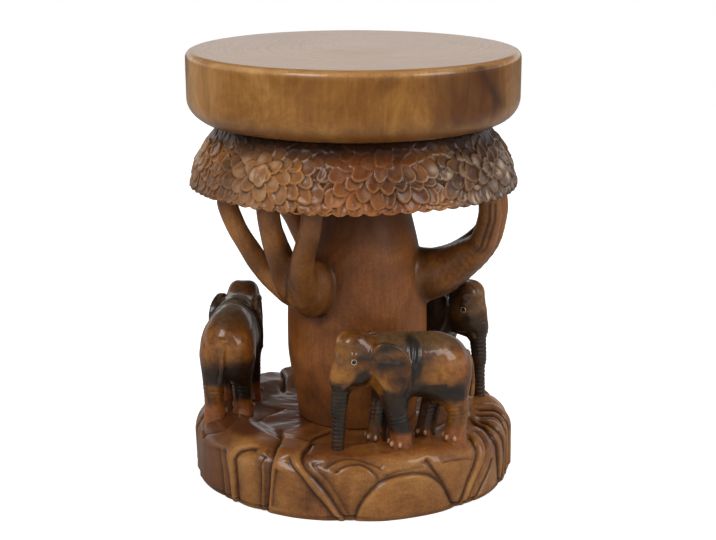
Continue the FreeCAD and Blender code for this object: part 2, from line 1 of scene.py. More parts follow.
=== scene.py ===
import math
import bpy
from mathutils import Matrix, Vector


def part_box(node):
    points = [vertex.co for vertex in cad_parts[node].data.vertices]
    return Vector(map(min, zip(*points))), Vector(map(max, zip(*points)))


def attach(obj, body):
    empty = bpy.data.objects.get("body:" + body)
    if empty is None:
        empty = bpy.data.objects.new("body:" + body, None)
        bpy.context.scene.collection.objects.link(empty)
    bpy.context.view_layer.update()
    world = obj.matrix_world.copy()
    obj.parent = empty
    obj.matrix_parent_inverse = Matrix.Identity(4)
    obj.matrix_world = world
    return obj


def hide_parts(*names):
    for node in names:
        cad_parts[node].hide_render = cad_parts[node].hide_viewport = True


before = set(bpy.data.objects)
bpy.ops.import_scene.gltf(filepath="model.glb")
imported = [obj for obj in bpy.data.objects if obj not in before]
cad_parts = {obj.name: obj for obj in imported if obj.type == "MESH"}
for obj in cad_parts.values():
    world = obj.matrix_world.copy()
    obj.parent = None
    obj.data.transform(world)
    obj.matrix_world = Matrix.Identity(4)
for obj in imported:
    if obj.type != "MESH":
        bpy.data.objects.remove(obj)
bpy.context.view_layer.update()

from types import SimpleNamespace

import bmesh
import bpy
import numpy as np
from mathutils import Vector

# Everything is sculpted in millimetres and written to the meshes in metres
MM = 0.001
SEED = 4
# Coarser meshes for quick tries
COARSE = 1
# Turn of the side that faces the viewer
FRONT = -90
# Radius at which the patterns of turned pieces are unrolled
DRUM = 150


def node_box(name):
    """Lowest and highest corner of a node in millimetres."""
    low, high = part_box(name)
    return np.array(low) / MM, np.array(high) / MM


# Sizes read from the frame
seat_low, seat_high = node_box("seat")
canopy_low, canopy_high = node_box("canopy")
base_low, base_high = node_box("base")
trunk_low, trunk_high = node_box("trunk")
SEAT_RADIUS = seat_high[0]
CANOPY_RADIUS = canopy_high[0]
BASE_RADIUS = base_high[0]
BASE_HEIGHT = base_high[2]
CANOPY_FOOT = canopy_low[2]
CANOPY_TOP = canopy_high[2]
SEAT_TOP = seat_high[2]


# Numbers on arrays

def smooth_step(value, low, high):
    """0 below low, 1 above high, smooth between."""
    share = np.clip((value - low) / (high - low), 0, 1)
    return share * share * (3 - 2 * share)


def hill(value, middle, half_width):
    """1 at the middle, falling off like a bell."""
    return np.exp(-((value - middle) / half_width) ** 2)


def wrapped(gap, around):
    """Signed shortest way round."""
    return (gap + around / 2) % around - around / 2


def turn_from(turns, degrees):
    """Signed degrees from a given turn."""
    return wrapped(np.degrees(turns) - degrees, 360)


def evened(values, times):
    """Row of values smoothed along itself, its ends kept."""
    values = values.copy()
    for _ in range(times):
        values[1:-1] = (values[:-2] + 2 * values[1:-1] + values[2:]) / 4
    return values


def from_segment(px, py, a, b):
    """Share of the way from a to b that lies nearest, and the gap to it in both directions."""
    way = b - a
    share = np.clip(((px - a[0]) * way[0] + (py - a[1]) * way[1]) / (way @ way), 0, 1)
    return share, px - a[0] - way[0] * share, py - a[1] - way[1] * share


def lattice_noise(x, y, z, cell, seed):
    """Smooth value noise from -1 to 1 with one random value per lattice point."""
    gx, gy, gz = x / cell, y / cell, z / cell
    ix, iy, iz = np.floor(gx), np.floor(gy), np.floor(gz)
    fx, fy, fz = gx - ix, gy - iy, gz - iz
    fx, fy, fz = (f * f * (3 - 2 * f) for f in (fx, fy, fz))
    total = 0
    for dx in (0, 1):
        for dy in (0, 1):
            for dz in (0, 1):
                key = (ix + dx) * 12.9898 + (iy + dy) * 78.233 + (iz + dz) * 37.719 + seed * 3.17
                value = np.sin(key) * 43758.5453
                value = 2 * (value - np.floor(value)) - 1
                weight = ((fx if dx else 1 - fx) * (fy if dy else 1 - fy) * (fz if dz else 1 - fz))
                total = total + value * weight
    return total


# Meshes

def mesh_object(name, points, faces, attributes=None):
    """Smooth shaded mesh object from points in millimetres and arrays of faces."""
    mesh = bpy.data.meshes.new(name)
    sides = np.concatenate([np.full(len(part), part.shape[1]) for part in faces])
    corners = np.concatenate([part.ravel() for part in faces])
    mesh.vertices.add(len(points))
    mesh.vertices.foreach_set("co", (np.asarray(points, np.float64) * MM).ravel())
    mesh.loops.add(len(corners))
    mesh.loops.foreach_set("vertex_index", corners.astype(np.int32))
    mesh.polygons.add(len(sides))
    mesh.polygons.foreach_set("loop_start", (np.cumsum(sides) - sides).astype(np.int32))
    mesh.polygons.foreach_set("use_smooth", np.ones(len(sides), bool))
    for label, values in (attributes or {}).items():
        layer = mesh.attributes.new(label, "FLOAT", "POINT")
        layer.data.foreach_set("value", np.asarray(values, np.float32))
    mesh.update(calc_edges=True)
    mesh.validate()
    piece = bpy.data.objects.new(name, mesh)
    bpy.context.scene.collection.objects.link(piece)
    return piece


def path_lengths(radii, heights):
    """Length along an outline at each of its points."""
    return np.concatenate([[0], np.cumsum(np.hypot(np.diff(radii), np.diff(heights)))])


def turned_mesh(name, radii, heights, columns, relief, paint, foot=0, adjust=None):
    """Closed solid turned about the upright axis, with relief along the surface's normal.

    radii and heights run from the axis under the solid to the axis above it. relief and paint
    get the surface's spots: their turns, rows (lengths along the outline), the same up from the
    foot, their reach, level, x and y. relief returns millimetres, paint returns attributes, and
    adjust moves the finished points.
    """
    lengths = path_lengths(radii, heights)
    slope_r = np.gradient(radii, lengths)
    slope_z = np.gradient(heights, lengths)
    norm = np.hypot(slope_r, slope_z)
    inner = slice(1, len(radii) - 1)
    turn = np.arange(columns) * 2 * math.pi / columns
    turns, rows = np.meshgrid(turn, lengths[inner], indexing="ij")
    spots = SimpleNamespace(turns=turns, rows=rows, up=rows - foot)
    spots.reach, spots.level = (np.broadcast_to(row[inner], rows.shape) for row in (radii, heights))
    spots.x, spots.y = spots.reach * np.cos(turns), spots.reach * np.sin(turns)
    spots.lift = relief(spots)
    reach = spots.reach + spots.lift * (slope_z / norm)[inner]
    level = spots.level - spots.lift * (slope_r / norm)[inner]
    points = np.stack([reach * np.cos(turns), reach * np.sin(turns), level], -1).reshape(-1, 3)
    points = np.concatenate([points, [[0, 0, heights[0]], [0, 0, heights[-1]]]])
    grid = np.arange(rows.size).reshape(rows.shape)
    beside = np.roll(grid, -1, axis=0)
    quads = np.stack([grid[:, :-1], beside[:, :-1], beside[:, 1:], grid[:, 1:]], -1).reshape(-1, 4)
    under = np.stack([beside[:, 0], grid[:, 0], np.full(columns, rows.size)], -1)
    over = np.stack([grid[:, -1], beside[:, -1], np.full(columns, rows.size + 1)], -1)
    attributes = {label: np.concatenate([values.ravel(), [values.mean()] * 2])
                  for label, values in paint(spots).items()}
    if adjust is not None:
        points = adjust(points)
    return mesh_object(name, points, [quads, under, over], attributes)


def drum_noise(spots, cell, seed, radius=DRUM, stretch=1):
    """Noise laid round an upright drum."""
    x, y = radius * np.cos(spots.turns), radius * np.sin(spots.turns)
    return lattice_noise(x, y, spots.rows * stretch, cell, seed)


# How many layers of a field are worked out at a time, to save memory
LAYERS = 16


def surface_net(field, low, high, step):
    """Quads on the zero surface of a field that is negative inside."""
    axes = [np.arange(a, b + step, step) for a, b in zip(low, high)]
    shape = [len(axis) for axis in axes]
    value = np.empty(shape, np.float32)
    for start in range(0, shape[0], LAYERS):
        part = slice(start, start + LAYERS)
        x, y, z = np.meshgrid(axes[0][part], axes[1], axes[2], indexing="ij")
        value[part] = field(x.ravel(), y.ravel(), z.ravel()).reshape(x.shape)
    inside = value < 0
    corners = [(i, j, k) for i in (0, 1) for j in (0, 1) for k in (0, 1)]
    cells = tuple(n - 1 for n in shape)
    filled = np.zeros(cells, np.int8)
    for i, j, k in corners:
        filled += inside[i:i + cells[0], j:j + cells[1], k:k + cells[2]]
    mixed = (filled > 0) & (filled < 8)
    place = np.argwhere(mixed)
    index = np.full(cells, -1, np.int64)
    index[mixed] = np.arange(len(place))
    total = np.zeros((len(place), 3))
    crossings = np.zeros(len(place))
    for axis, step_along in enumerate(np.eye(3, dtype=int)):
        for corner in corners:
            if corner[axis]:
                continue
            first = place + corner
            v0 = value[tuple(first.T)]
            v1 = value[tuple((first + step_along).T)]
            cut = (v0 < 0) != (v1 < 0)
            share = np.where(cut, v0 / np.where(cut, v0 - v1, 1), 0)
            total[cut] += first[cut] + share[cut, None] * step_along
            crossings[cut] += 1
    points = np.array(low) + total / crossings[:, None] * step
    quads = []
    for axis in range(3):
        u, v = [n for n in range(3) if n != axis]
        head = [slice(None)] * 3
        tail = [slice(None)] * 3
        head[axis] = slice(1, None)
        tail[axis] = slice(None, -1)
        crossing = np.argwhere(inside[tuple(head)] != inside[tuple(tail)])
        crossing = crossing[(crossing[:, u] > 0) & (crossing[:, v] > 0)]
        crossing = crossing[(crossing[:, u] < cells[u]) & (crossing[:, v] < cells[v])]
        ring = []
        for du, dv in ((1, 1), (0, 1), (0, 0), (1, 0)):
            cell = crossing.copy()
            cell[:, u] -= du
            cell[:, v] -= dv
            ring.append(index[tuple(cell.T)])
        ring = np.stack(ring, -1)
        leaving = inside[tuple(crossing.T)]
        flip = leaving if axis == 1 else ~leaving
        ring[flip] = ring[flip][:, ::-1]
        quads.append(ring)
    return settle(points, field, step), np.concatenate(quads)


def settle(points, field, step):
    """Moves points onto the zero surface along the field's slope."""
    small = step * 0.25
    for _ in range(2):
        x, y, z = points.T
        here = field(x, y, z)
        slope = np.stack([field(x + small, y, z) - here, field(x, y + small, z) - here,
                          field(x, y, z + small) - here], -1) / small
        size = np.maximum((slope ** 2).sum(-1), 0.25)
        move = -(here / size)[:, None] * slope
        length = np.linalg.norm(move, axis=1, keepdims=True)
        points = points + move * np.minimum(1, 0.5 * step / np.maximum(length, 1e-6))
    return points


# Fields of simple forms: distances in millimetres, negative inside

def blend(first, second, width):
    """Union with a soft seam."""
    gap = np.maximum(width - np.abs(first - second), 0)
    return np.minimum(first, second) - gap * gap / (4 * width)


def carve(field, tool, width):
    """Takes the tool out of the field, with a soft edge."""
    return -blend(-field, tool, width)


def egg(x, y, z, centre, radii, turn=0):
    """Ellipsoid, turned about the upright line through its centre."""
    px, py, pz = x - centre[0], y - centre[1], z - centre[2]
    if turn:
        cos, sin = math.cos(math.radians(turn)), math.sin(math.radians(turn))
        px, py = px * cos + py * sin, py * cos - px * sin
    k0 = np.sqrt((px / radii[0]) ** 2 + (py / radii[1]) ** 2 + (pz / radii[2]) ** 2)
    k1 = np.sqrt((px / radii[0] ** 2) ** 2 + (py / radii[1] ** 2) ** 2 + (pz / radii[2] ** 2) ** 2)
    return k0 * (k0 - 1) / np.maximum(k1, 1e-6)


def taper(x, y, z, start, end, start_radius, end_radius):
    """Rounded cone between two points."""
    a = np.asarray(start, float)
    way = np.asarray(end, float) - a
    px, py, pz = x - a[0], y - a[1], z - a[2]
    share = np.clip((px * way[0] + py * way[1] + pz * way[2]) / (way @ way), 0, 1)
    distance = np.sqrt((px - way[0] * share) ** 2 + (py - way[1] * share) ** 2
                       + (pz - way[2] * share) ** 2)
    return distance - (start_radius + (end_radius - start_radius) * share)


def smooth_row(rows, steps):
    """Points of a smooth curve through the rows of a table."""
    rows = np.asarray(rows, float)
    if len(rows) < 3:
        return rows
    ends = np.concatenate([[2 * rows[0] - rows[1]], rows, [2 * rows[-1] - rows[-2]]])
    result = []
    for a, b, c, d in zip(ends[:-3], ends[1:-2], ends[2:-1], ends[3:]):
        for share in np.arange(steps) / steps:
            result.append(0.5 * (2 * b + (c - a) * share + (2 * a - 5 * b + 4 * c - d) * share ** 2
                                 + (3 * b - 3 * c + d - a) * share ** 3))
    return np.array(result + [rows[-1]])


def chain(x, y, z, joints):
    """Smooth tube; each joint is a place and a radius."""
    row = smooth_row([(*place, radius) for place, radius in joints], 4)
    return np.minimum.reduce([taper(x, y, z, a[:3], b[:3], a[3], b[3])
                              for a, b in zip(row[:-1], row[1:])])


# Materials

WHITE = (1, 1, 1, 1)


class Nodes:
    """Adds nodes to a tree."""

    def __init__(self, tree):
        self.tree = tree

    def feed(self, socket, value):
        """Sets a socket, or links it where the value is a socket itself."""
        if isinstance(value, bpy.types.NodeSocket):
            self.tree.links.new(value, socket)
        else:
            socket.default_value = value

    def add(self, kind, settings=None, **inputs):
        """New node; inputs are named, or numbered as i0, i1 and so on."""
        item = self.tree.nodes.new("ShaderNode" + kind)
        for key, value in (settings or {}).items():
            setattr(item, key, value)
        for key, value in inputs.items():
            self.feed(item.inputs[int(key[1:]) if key[1:].isdigit() else key], value)
        return item

    def place(self, stretch=(1, 1, 1)):
        """Object coordinates in metres, stretched."""
        place = self.add("TexCoord").outputs["Object"]
        return self.add("Mapping", Vector=place, Scale=stretch).outputs["Vector"]

    def noise(self, scale, detail=4, roughness=0.55, distortion=0, stretch=(1, 1, 1)):
        """Noise factor in object space."""
        return self.add("TexNoise", Vector=self.place(stretch), Scale=scale, Detail=detail,
                        Roughness=roughness, Distortion=distortion).outputs[0]

    def ramp(self, factor, *stops):
        """Colour ramp; each stop is a place and a colour."""
        item = self.add("ValToRGB", Fac=factor)
        elements = item.color_ramp.elements
        while len(elements) < len(stops):
            elements.new(0.5)
        for element, (place, colour) in zip(elements, stops):
            element.position = place
            element.color = colour
        return item.outputs["Color"]

    def mix(self, factor, first, second, kind="MIX"):
        """Colour mix."""
        settings = {"data_type": "RGBA", "blend_type": kind}
        return self.add("Mix", settings, i0=factor, i6=first, i7=second).outputs[2]

    def maths(self, kind, *values):
        """Scalar operation."""
        inputs = {f"i{number}": value for number, value in enumerate(values)}
        return self.add("Math", {"operation": kind}, **inputs).outputs[0]

    def painted(self, name):
        """Factor painted on the mesh."""
        return self.add("Attribute", {"attribute_name": name}).outputs["Fac"]

    def wash(self, colour, name, other, kind="MIX"):
        """Colour mixed with another one where the mesh is painted."""
        return self.mix(self.painted(name), colour, other, kind)

    def streaked(self, colour, pattern, amount, dark):
        """Colour darkened in the low parts of a pattern."""
        streak = self.ramp(pattern, (0.35, (*dark, 1)), (0.6, WHITE))
        return self.mix(amount, colour, streak, "MULTIPLY")


def new_material(name):
    """Node material, its nodes and the sockets of its shader."""
    made = bpy.data.materials.new(name)
    made.use_nodes = True
    return made, Nodes(made.node_tree), made.node_tree.nodes["Principled BSDF"].inputs


def linear(red, green, blue):
    """Linear colour from the usual 0 to 255 display values."""
    def one(value):
        value /= 255
        return value / 12.92 if value <= 0.04045 else ((value + 0.055) / 1.055) ** 2.4
    return (one(red), one(green), one(blue), 1)


def lacquer(shader, coat, coat_roughness):
    """Clear lacquer over wood."""
    shader["Coat Weight"].default_value = coat
    shader["Coat Roughness"].default_value = coat_roughness
    shader["Coat IOR"].default_value = 1.5
    shader["Specular IOR Level"].default_value = 0.25


def surface(nodes, shader, colour, roughness, grain, strength, distance):
    """Colour, roughness and fine relief of the finish."""
    nodes.feed(shader["Base Color"], colour)
    nodes.feed(shader["Roughness"], roughness)
    relief = nodes.add("Bump", Height=grain, Strength=strength, Distance=distance)
    nodes.feed(shader["Normal"], relief.outputs["Normal"])


def carved_wood(name, colours, roughness, coat, coat_roughness, grain_stretch=(1, 1, 0.12),
                grain_scale=260):
    """Stained wood: mottled colour and fine grain, with shade painted darker into the grooves, where the
    lacquer is also duller, and highlights painted on raised parts.
    """
    dark, middle, light, groove_colour = (linear(*colour) for colour in colours)
    made, nodes, shader = new_material(name)
    grain = nodes.noise(grain_scale, 6, 0.6, 0.3, grain_stretch)
    mottled = nodes.maths("MULTIPLY_ADD", nodes.noise(14, 5, 0.6, 0.6), 1.3, -0.15)
    colour = nodes.ramp(mottled, (0.2, dark), (0.5, middle), (0.8, light))
    colour = nodes.streaked(colour, grain, 0.5, (0.64, 0.6, 0.56))
    fleck = nodes.ramp(nodes.noise(420, 3, 0.7), (0.36, (0.7, 0.66, 0.6, 1)), (0.56, WHITE),
                       (0.68, (1.25, 1.22, 1.15, 1)))
    colour = nodes.mix(0.6, colour, fleck, "MULTIPLY")
    colour = nodes.wash(colour, "rust", (0.78, 0.6, 0.5, 1), "MULTIPLY")
    # Tone: partly the wood's own colour, partly painted shade under the seat, on the stem's ends and on the
    # forks' shaded sides
    colour = nodes.wash(colour, "tone", dark)
    colour = nodes.wash(colour, "shade", (0.52, 0.46, 0.4, 1), "MULTIPLY")
    # Painted highlight on raised rims, ridges and edges
    colour = nodes.mix(nodes.maths("MULTIPLY", nodes.painted("crest"), 0.3), colour, light)
    # Painted glints and sheen on the leaves
    colour = nodes.wash(colour, "pale", linear(196, 166, 136))
    # Painted shade in grooves, creases and seams
    colour = nodes.wash(colour, "groove", groove_colour)
    rough = nodes.maths("MULTIPLY_ADD", grain, 0.2, roughness - 0.1)
    surface(nodes, shader, colour, rough, grain, 0.25, 0.0004)
    lacquer(shader, coat, coat_roughness)
    gloss = nodes.maths("SUBTRACT", 1, nodes.painted("groove"))
    nodes.feed(shader["Coat Weight"], nodes.maths("MULTIPLY", gloss, coat))
    return made


def elephant_material():
    """Ochre wood, charred black in places, under glossy lacquer; black is also painted as shade on the far
    legs, and a grey sheen is painted on top of the back.
    """
    made, nodes, shader = new_material("elephant_wood")
    broad = nodes.noise(26, 5, 0.6, 0.8)
    grain = nodes.noise(320, 5, 0.6, 0, (1, 1, 0.2))
    colour = nodes.ramp(broad, (0.34, linear(60, 34, 12)), (0.52, linear(102, 60, 18)),
                        (0.68, linear(136, 86, 28)))
    colour = nodes.streaked(colour, grain, 0.4, (0.6, 0.56, 0.5))
    colour = nodes.wash(colour, "warm", linear(140, 78, 34))
    bright = nodes.ramp(broad, (0.36, linear(110, 66, 22)), (0.6, linear(160, 106, 40)))
    colour = nodes.wash(colour, "gold", bright)
    # Painted grey sheen on top of the back
    colour = nodes.wash(colour, "tone", linear(88, 68, 46))
    mottled = nodes.ramp(nodes.noise(150, 4, 0.65), (0.34, (0.62, 0.6, 0.5, 1)), (0.5, WHITE),
                         (0.66, (1.32, 1.3, 1.16, 1)))
    colour = nodes.mix(0.75, colour, mottled, "MULTIPLY")
    # Charred black, also painted as shade on the far legs
    black = nodes.maths("MULTIPLY_ADD", nodes.noise(55, 5), 0.6, nodes.painted("scorch_and_shade"))
    black = nodes.ramp(nodes.maths("MULTIPLY", black, 0.6), (0.22, (0, 0, 0, 1)),
                       (0.62, (0.8, 0.8, 0.8, 1)), (0.95, (0.97, 0.97, 0.97, 1)))
    soot_and_shade = nodes.ramp(nodes.noise(130, 4), (0.35, linear(10, 9, 8)), (0.7, linear(27, 26, 20)))
    colour = nodes.mix(black, colour, soot_and_shade)
    colour = nodes.wash(colour, "nail", linear(176, 134, 100))
    surface(nodes, shader, colour, 0.42, grain, 0.2, 0.0003)
    lacquer(shader, 0.6, 0.1)
    return made


# Where the slab's growth rings have their middle, in metres
PITH = (0.02, 0.03, 0)


def end_grain(nodes, heart):
    """Colour of the slab's sawn top: growth rings round the pith, a little cloudy."""
    level = (1, 1, 0)
    apart = nodes.add("VectorMath", {"operation": "SUBTRACT"}, i0=nodes.place(level), i1=PITH).outputs[0]
    reach = nodes.add("VectorMath", {"operation": "LENGTH"}, i0=apart).outputs["Value"]
    wander = nodes.maths("MULTIPLY", nodes.noise(8, 5, 0.5, 0, level), 0.07)
    growth = nodes.add("TexNoise", {"noise_dimensions": "1D"}, W=nodes.maths("ADD", reach, wander),
                       Scale=230, Detail=4, Roughness=0.7).outputs[0]
    growth = nodes.ramp(growth, (0.34, linear(146, 102, 57)), (0.5, linear(159, 116, 70)),
                        (0.64, linear(170, 128, 82)))
    cloud = nodes.ramp(nodes.noise(13, 5, 0.6, 0.5), (0.35, (0.8, 0.76, 0.7, 1)), (0.62, WHITE))
    growth = nodes.mix(0.8, growth, cloud, "MULTIPLY")
    return nodes.mix(nodes.maths("MULTIPLY", heart, 0.5), growth, linear(140, 92, 48))


def seat_material():
    """Thick slab: a dark heart, fine upright grain, clear lacquer, with reflection painted as pale tan on the
    ends and the top edge, and shade painted under the front.
    """
    made, nodes, shader = new_material("seat_wood")
    fibre = nodes.noise(330, 6, 0.65, 0.6, (1, 1, 0.09))
    broad = nodes.noise(15, 7, 0.68, 1.0, (1, 1, 0.8))
    colour = nodes.ramp(broad, (0.3, linear(112, 68, 22)), (0.5, linear(142, 93, 35)),
                        (0.7, linear(170, 122, 60)))
    # Pale tan: reflection painted on the ends and the rounded top edge
    painted_sheen = nodes.ramp(broad, (0.3, linear(160, 108, 54)), (0.5, linear(188, 140, 82)),
                         (0.7, linear(206, 164, 110)))
    colour = nodes.wash(colour, "crest", painted_sheen)
    colour = nodes.streaked(colour, fibre, 0.4, (0.6, 0.54, 0.46))
    vein = nodes.noise(34, 5, 0.6, 1.5, (1, 1, 0.25))
    # Dark heart from the painted tone, which also carries the shade painted under the front
    heart = nodes.maths("MULTIPLY_ADD", vein, 1.1, nodes.painted("tone"))
    heart = nodes.ramp(nodes.maths("MULTIPLY", heart, 0.55), (0.3, (0, 0, 0, 1)),
                       (0.62, (0.6, 0.6, 0.6, 1)), (0.95, WHITE))
    colour = nodes.mix(heart, colour, linear(84, 44, 10))
    colour = nodes.wash(colour, "groove", linear(52, 26, 8))
    colour = nodes.wash(colour, "pale", end_grain(nodes, heart))
    rough = nodes.maths("MULTIPLY_ADD", fibre, 0.25, 0.26)
    surface(nodes, shader, colour, rough, fibre, 0.25, 0.0004)
    lacquer(shader, 0.6, 0.13)
    return made


def eye_material(name, colour, roughness):
    """Polished bead with a faint cloudiness."""
    made, nodes, shader = new_material(name)
    dim = tuple(0.8 * channel for channel in colour[:3]) + (1,)
    nodes.feed(shader["Base Color"], nodes.ramp(nodes.noise(900, 3), (0.3, dim), (0.7, colour)))
    shader["Roughness"].default_value = roughness
    lacquer(shader, 0.6, 0.05)
    return made


def dowel_material():
    """Plain turned hardwood."""
    made, nodes, shader = new_material("dowel_wood")
    grain = nodes.noise(500, 5, stretch=(1, 1, 0.1))
    colour = nodes.ramp(grain, (0.35, linear(150, 115, 78)), (0.65, linear(190, 155, 112)))
    surface(nodes, shader, colour, 0.6, grain, 0.2, 0.0003)
    lacquer(shader, 0, 0.3)
    return made


def stand_for(piece, slot, node, *materials):
    """The piece stands for a node of the frame: it takes the given materials and hangs from the root, and the
    node is hidden; slot is not used.
    """
    for item in materials:
        piece.data.materials.append(item)
    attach(piece, "root")
    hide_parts(node)


# Seat: an outline turned about the axis, a little uneven as a hand-turned slab is

SEAT_COLUMNS = 420
# Rounding under the slab: how far in and up it goes, and its arc
HEEL_DEPTH = 32
HEEL_RISE = 25
HEEL_ARC = math.radians(74)
# Rounding at the top edge
SEAT_EDGE = 8


def seat_outline():
    """Radii and heights from under the slab to the middle of its top."""
    foot = seat_low[2]
    under = np.array([0, 60, 110, 138])
    heel = HEEL_ARC * np.linspace(-1, 0, 22)
    wall = np.linspace(foot + HEEL_RISE + 2, SEAT_TOP - SEAT_EDGE - 3, 22)
    edge = np.linspace(0, math.pi / 2, 14)[1:]
    top = np.linspace(SEAT_RADIUS - 12, 0, 40)
    radii = [under, SEAT_RADIUS - HEEL_DEPTH * (1 - np.cos(heel) ** 0.9),
             np.full(len(wall), SEAT_RADIUS), SEAT_RADIUS - SEAT_EDGE * (1 - np.cos(edge)), top]
    heights = [np.full(len(under), foot), foot + HEEL_RISE * (1 + np.sin(heel) / math.sin(HEEL_ARC)),
               wall, SEAT_TOP - SEAT_EDGE * (1 - np.sin(edge)), np.full(len(top), SEAT_TOP)]
    return np.concatenate(radii), np.concatenate(heights)


def seat_relief(spots):
    """Slight unevenness, always inwards, fading out on the top and towards the middle."""
    uneven = (0.5 * lattice_noise(spots.x, spots.y, spots.rows * 0.6, 45, 1)
              + 0.15 * lattice_noise(spots.x, spots.y, spots.rows * 0.3, 14, 2))
    flat = 1 - 0.85 * smooth_step(spots.level, SEAT_TOP - 3, SEAT_TOP - 0.5)
    return (uneven * flat - 0.7) * smooth_step(spots.reach, 10, 60)


def seat_paint(spots):
    """By place on the slab: where the dark heartwood and a dark vein show, where the top is sanded pale, and
    painted light, which is shade under the front and reflection as pale tan on the ends and the rounded top
    edge.
    """
    x, y, level = spots.x, spots.y, spots.level
    side = 1 - smooth_step(level, SEAT_TOP - 9, SEAT_TOP)
    ragged = 6 * lattice_noise(x, y, level * 0.4, 18, 51)
    heart = smooth_step(x + ragged, 66, 92) * (1 - smooth_step(x + ragged, 136, 152))
    heart = heart * smooth_step(-y, 20, 70) * (0.3 + 0.7 * side) * smooth_step(level + ragged, 384, 396)
    left = 0.6 * hill(x, -75, 55) * hill(y, 85, 50)
    # Painted shade under the front of the slab
    foot = 0.55 * (1 - smooth_step(level, 382, 396)) * (y < 0)
    vein = 0.75 * hill(x + 0.3 * ragged, 133 - 0.5 * (level - 424), 6) * hill(y, -100, 40)
    vein = vein * smooth_step(level, 396, 410) * (1 - 0.6 * smooth_step(level, SEAT_TOP - 6, SEAT_TOP))
    top = 0.9 * smooth_step(level, SEAT_TOP - 2.5, SEAT_TOP - 0.8)
    # Painted reflection: the rounded top edge pale tan
    rim = 0.9 * smooth_step(level, SEAT_TOP - 8, SEAT_TOP - 4)
    # Painted reflection: the side paler towards its far ends, and pale tan at both ends
    region_weight = 0.3 * smooth_step(x + 1.4 * ragged, 148, 174) + 0.2 * smooth_step(-x + ragged, 160, 174)
    tan = 0.85 * smooth_step(-x - ragged, 118, 158) + 0.5 * smooth_step(x - ragged, 140, 166)
    return {"tone": np.clip(heart + left + foot, 0, 1), "pale": np.maximum(top, region_weight * side),
            "groove": vein, "crest": np.maximum(tan * side, rim)}


def make_seat():
    piece = turned_mesh("seat_slab", *seat_outline(), SEAT_COLUMNS, seat_relief, seat_paint)
    stand_for(piece, "seat_wood", "seat", seat_material())


# Dome of leaves. Leaves are laid out on the unrolled dome: along the rim and up from it.

DOME_PROFILE = ((171, 310.5), (171, 316), (169.6, 321), (168.3, 326), (166, 337), (162.8, 342),
                (160.6, 347), (157.4, 352), (154, 357), (149, 362), (144.8, 367), (140.5, 375))
DOME_STEP = 1.0 * COARSE
AROUND = 2 * math.pi * CANOPY_RADIUS
# Turn and level of each rosette of leaves
ROSETTES = ((-124, 36), (-79, 58), (-34, 35), (11, 46), (56, 33), (101, 52), (146, 38), (-169, 47))
RING_COUNT = 8
RING_SPACING = 12
LEAF_SPACING = 14.5
LEAF_LENGTH = 24
LEAF_WIDTH = 18
# Lowest and highest level of the leaves round the rosettes
LEAF_LEVELS = (6, 84)
# Lowest and highest relief of the leaves
LEAF_RELIEF = (-3.2, 0.6)
RIM_LEAF_COUNT = 68
RIM_LEVEL = 10


def dome_outline():
    """Radii and heights from the axis below to the axis above, and the length at the rim."""
    radii, heights = zip(*DOME_PROFILE)
    lengths = path_lengths(radii, heights)
    fine = np.arange(0, lengths[-1], DOME_STEP)
    under = [0, 60, 110, 140, 152, 160, 165, 168, 170]
    top = [139, 120, 80, 0]
    radii = np.concatenate([under, evened(np.interp(fine, lengths, radii), 6), top])
    heights = np.concatenate([np.full(len(under), CANOPY_FOOT),
                              evened(np.interp(fine, lengths, heights), 6),
                              np.full(len(top), CANOPY_TOP)])
    return radii, heights, path_lengths(radii, heights)[len(under)]


def leaf_layout():
    """Leaves as place, heading, length and width: rings round rosettes, and a row on the rim."""
    pick = np.random.default_rng(SEED)
    middles = [(math.radians(turn) * CANOPY_RADIUS, level) for turn, level in ROSETTES]

    def distance(place, level, middle):
        return math.hypot(wrapped(place - middle[0], AROUND), level - middle[1])

    leaves = []
    for number in range(RIM_LEAF_COUNT):
        place = number * AROUND / RIM_LEAF_COUNT + pick.uniform(-2.5, 2.5)
        level = RIM_LEVEL + pick.uniform(-1.5, 1.5)
        heading = math.radians(270 + pick.uniform(-12, 12))
        leaves.append((place, level, heading, LEAF_LENGTH, LEAF_WIDTH * pick.uniform(1.05, 1.25), 0))
    for middle in middles:
        for ring in range(RING_COUNT):
            reach = 3 + RING_SPACING * ring
            count = max(4, round(2 * math.pi * reach / LEAF_SPACING))
            first = pick.uniform(0, 360)
            for leaf in range(count):
                angle = math.radians(first + leaf * 360 / count + pick.uniform(-5, 5))
                place = middle[0] + reach * math.cos(angle)
                level = middle[1] + reach * math.sin(angle)
                nearest = min(distance(place, level, other) for other in middles)
                inside = LEAF_LEVELS[0] <= level <= LEAF_LEVELS[1]
                if not inside or distance(place, level, middle) > nearest + 5:
                    continue
                droop = min(reach / 90, 0.6)
                heading = math.atan2(math.sin(angle) - droop, math.cos(angle))
                size = (0.8 if ring == 0 else 1) * pick.uniform(0.85, 1.25)
                leaves.append((place, level, heading + math.radians(pick.uniform(-24, 24)),
                               LEAF_LENGTH * size, LEAF_WIDTH * size * pick.uniform(0.85, 1.1),
                               pick.uniform(-0.45, 0.45) + 0.9 / (1 + ring)))
    return leaves


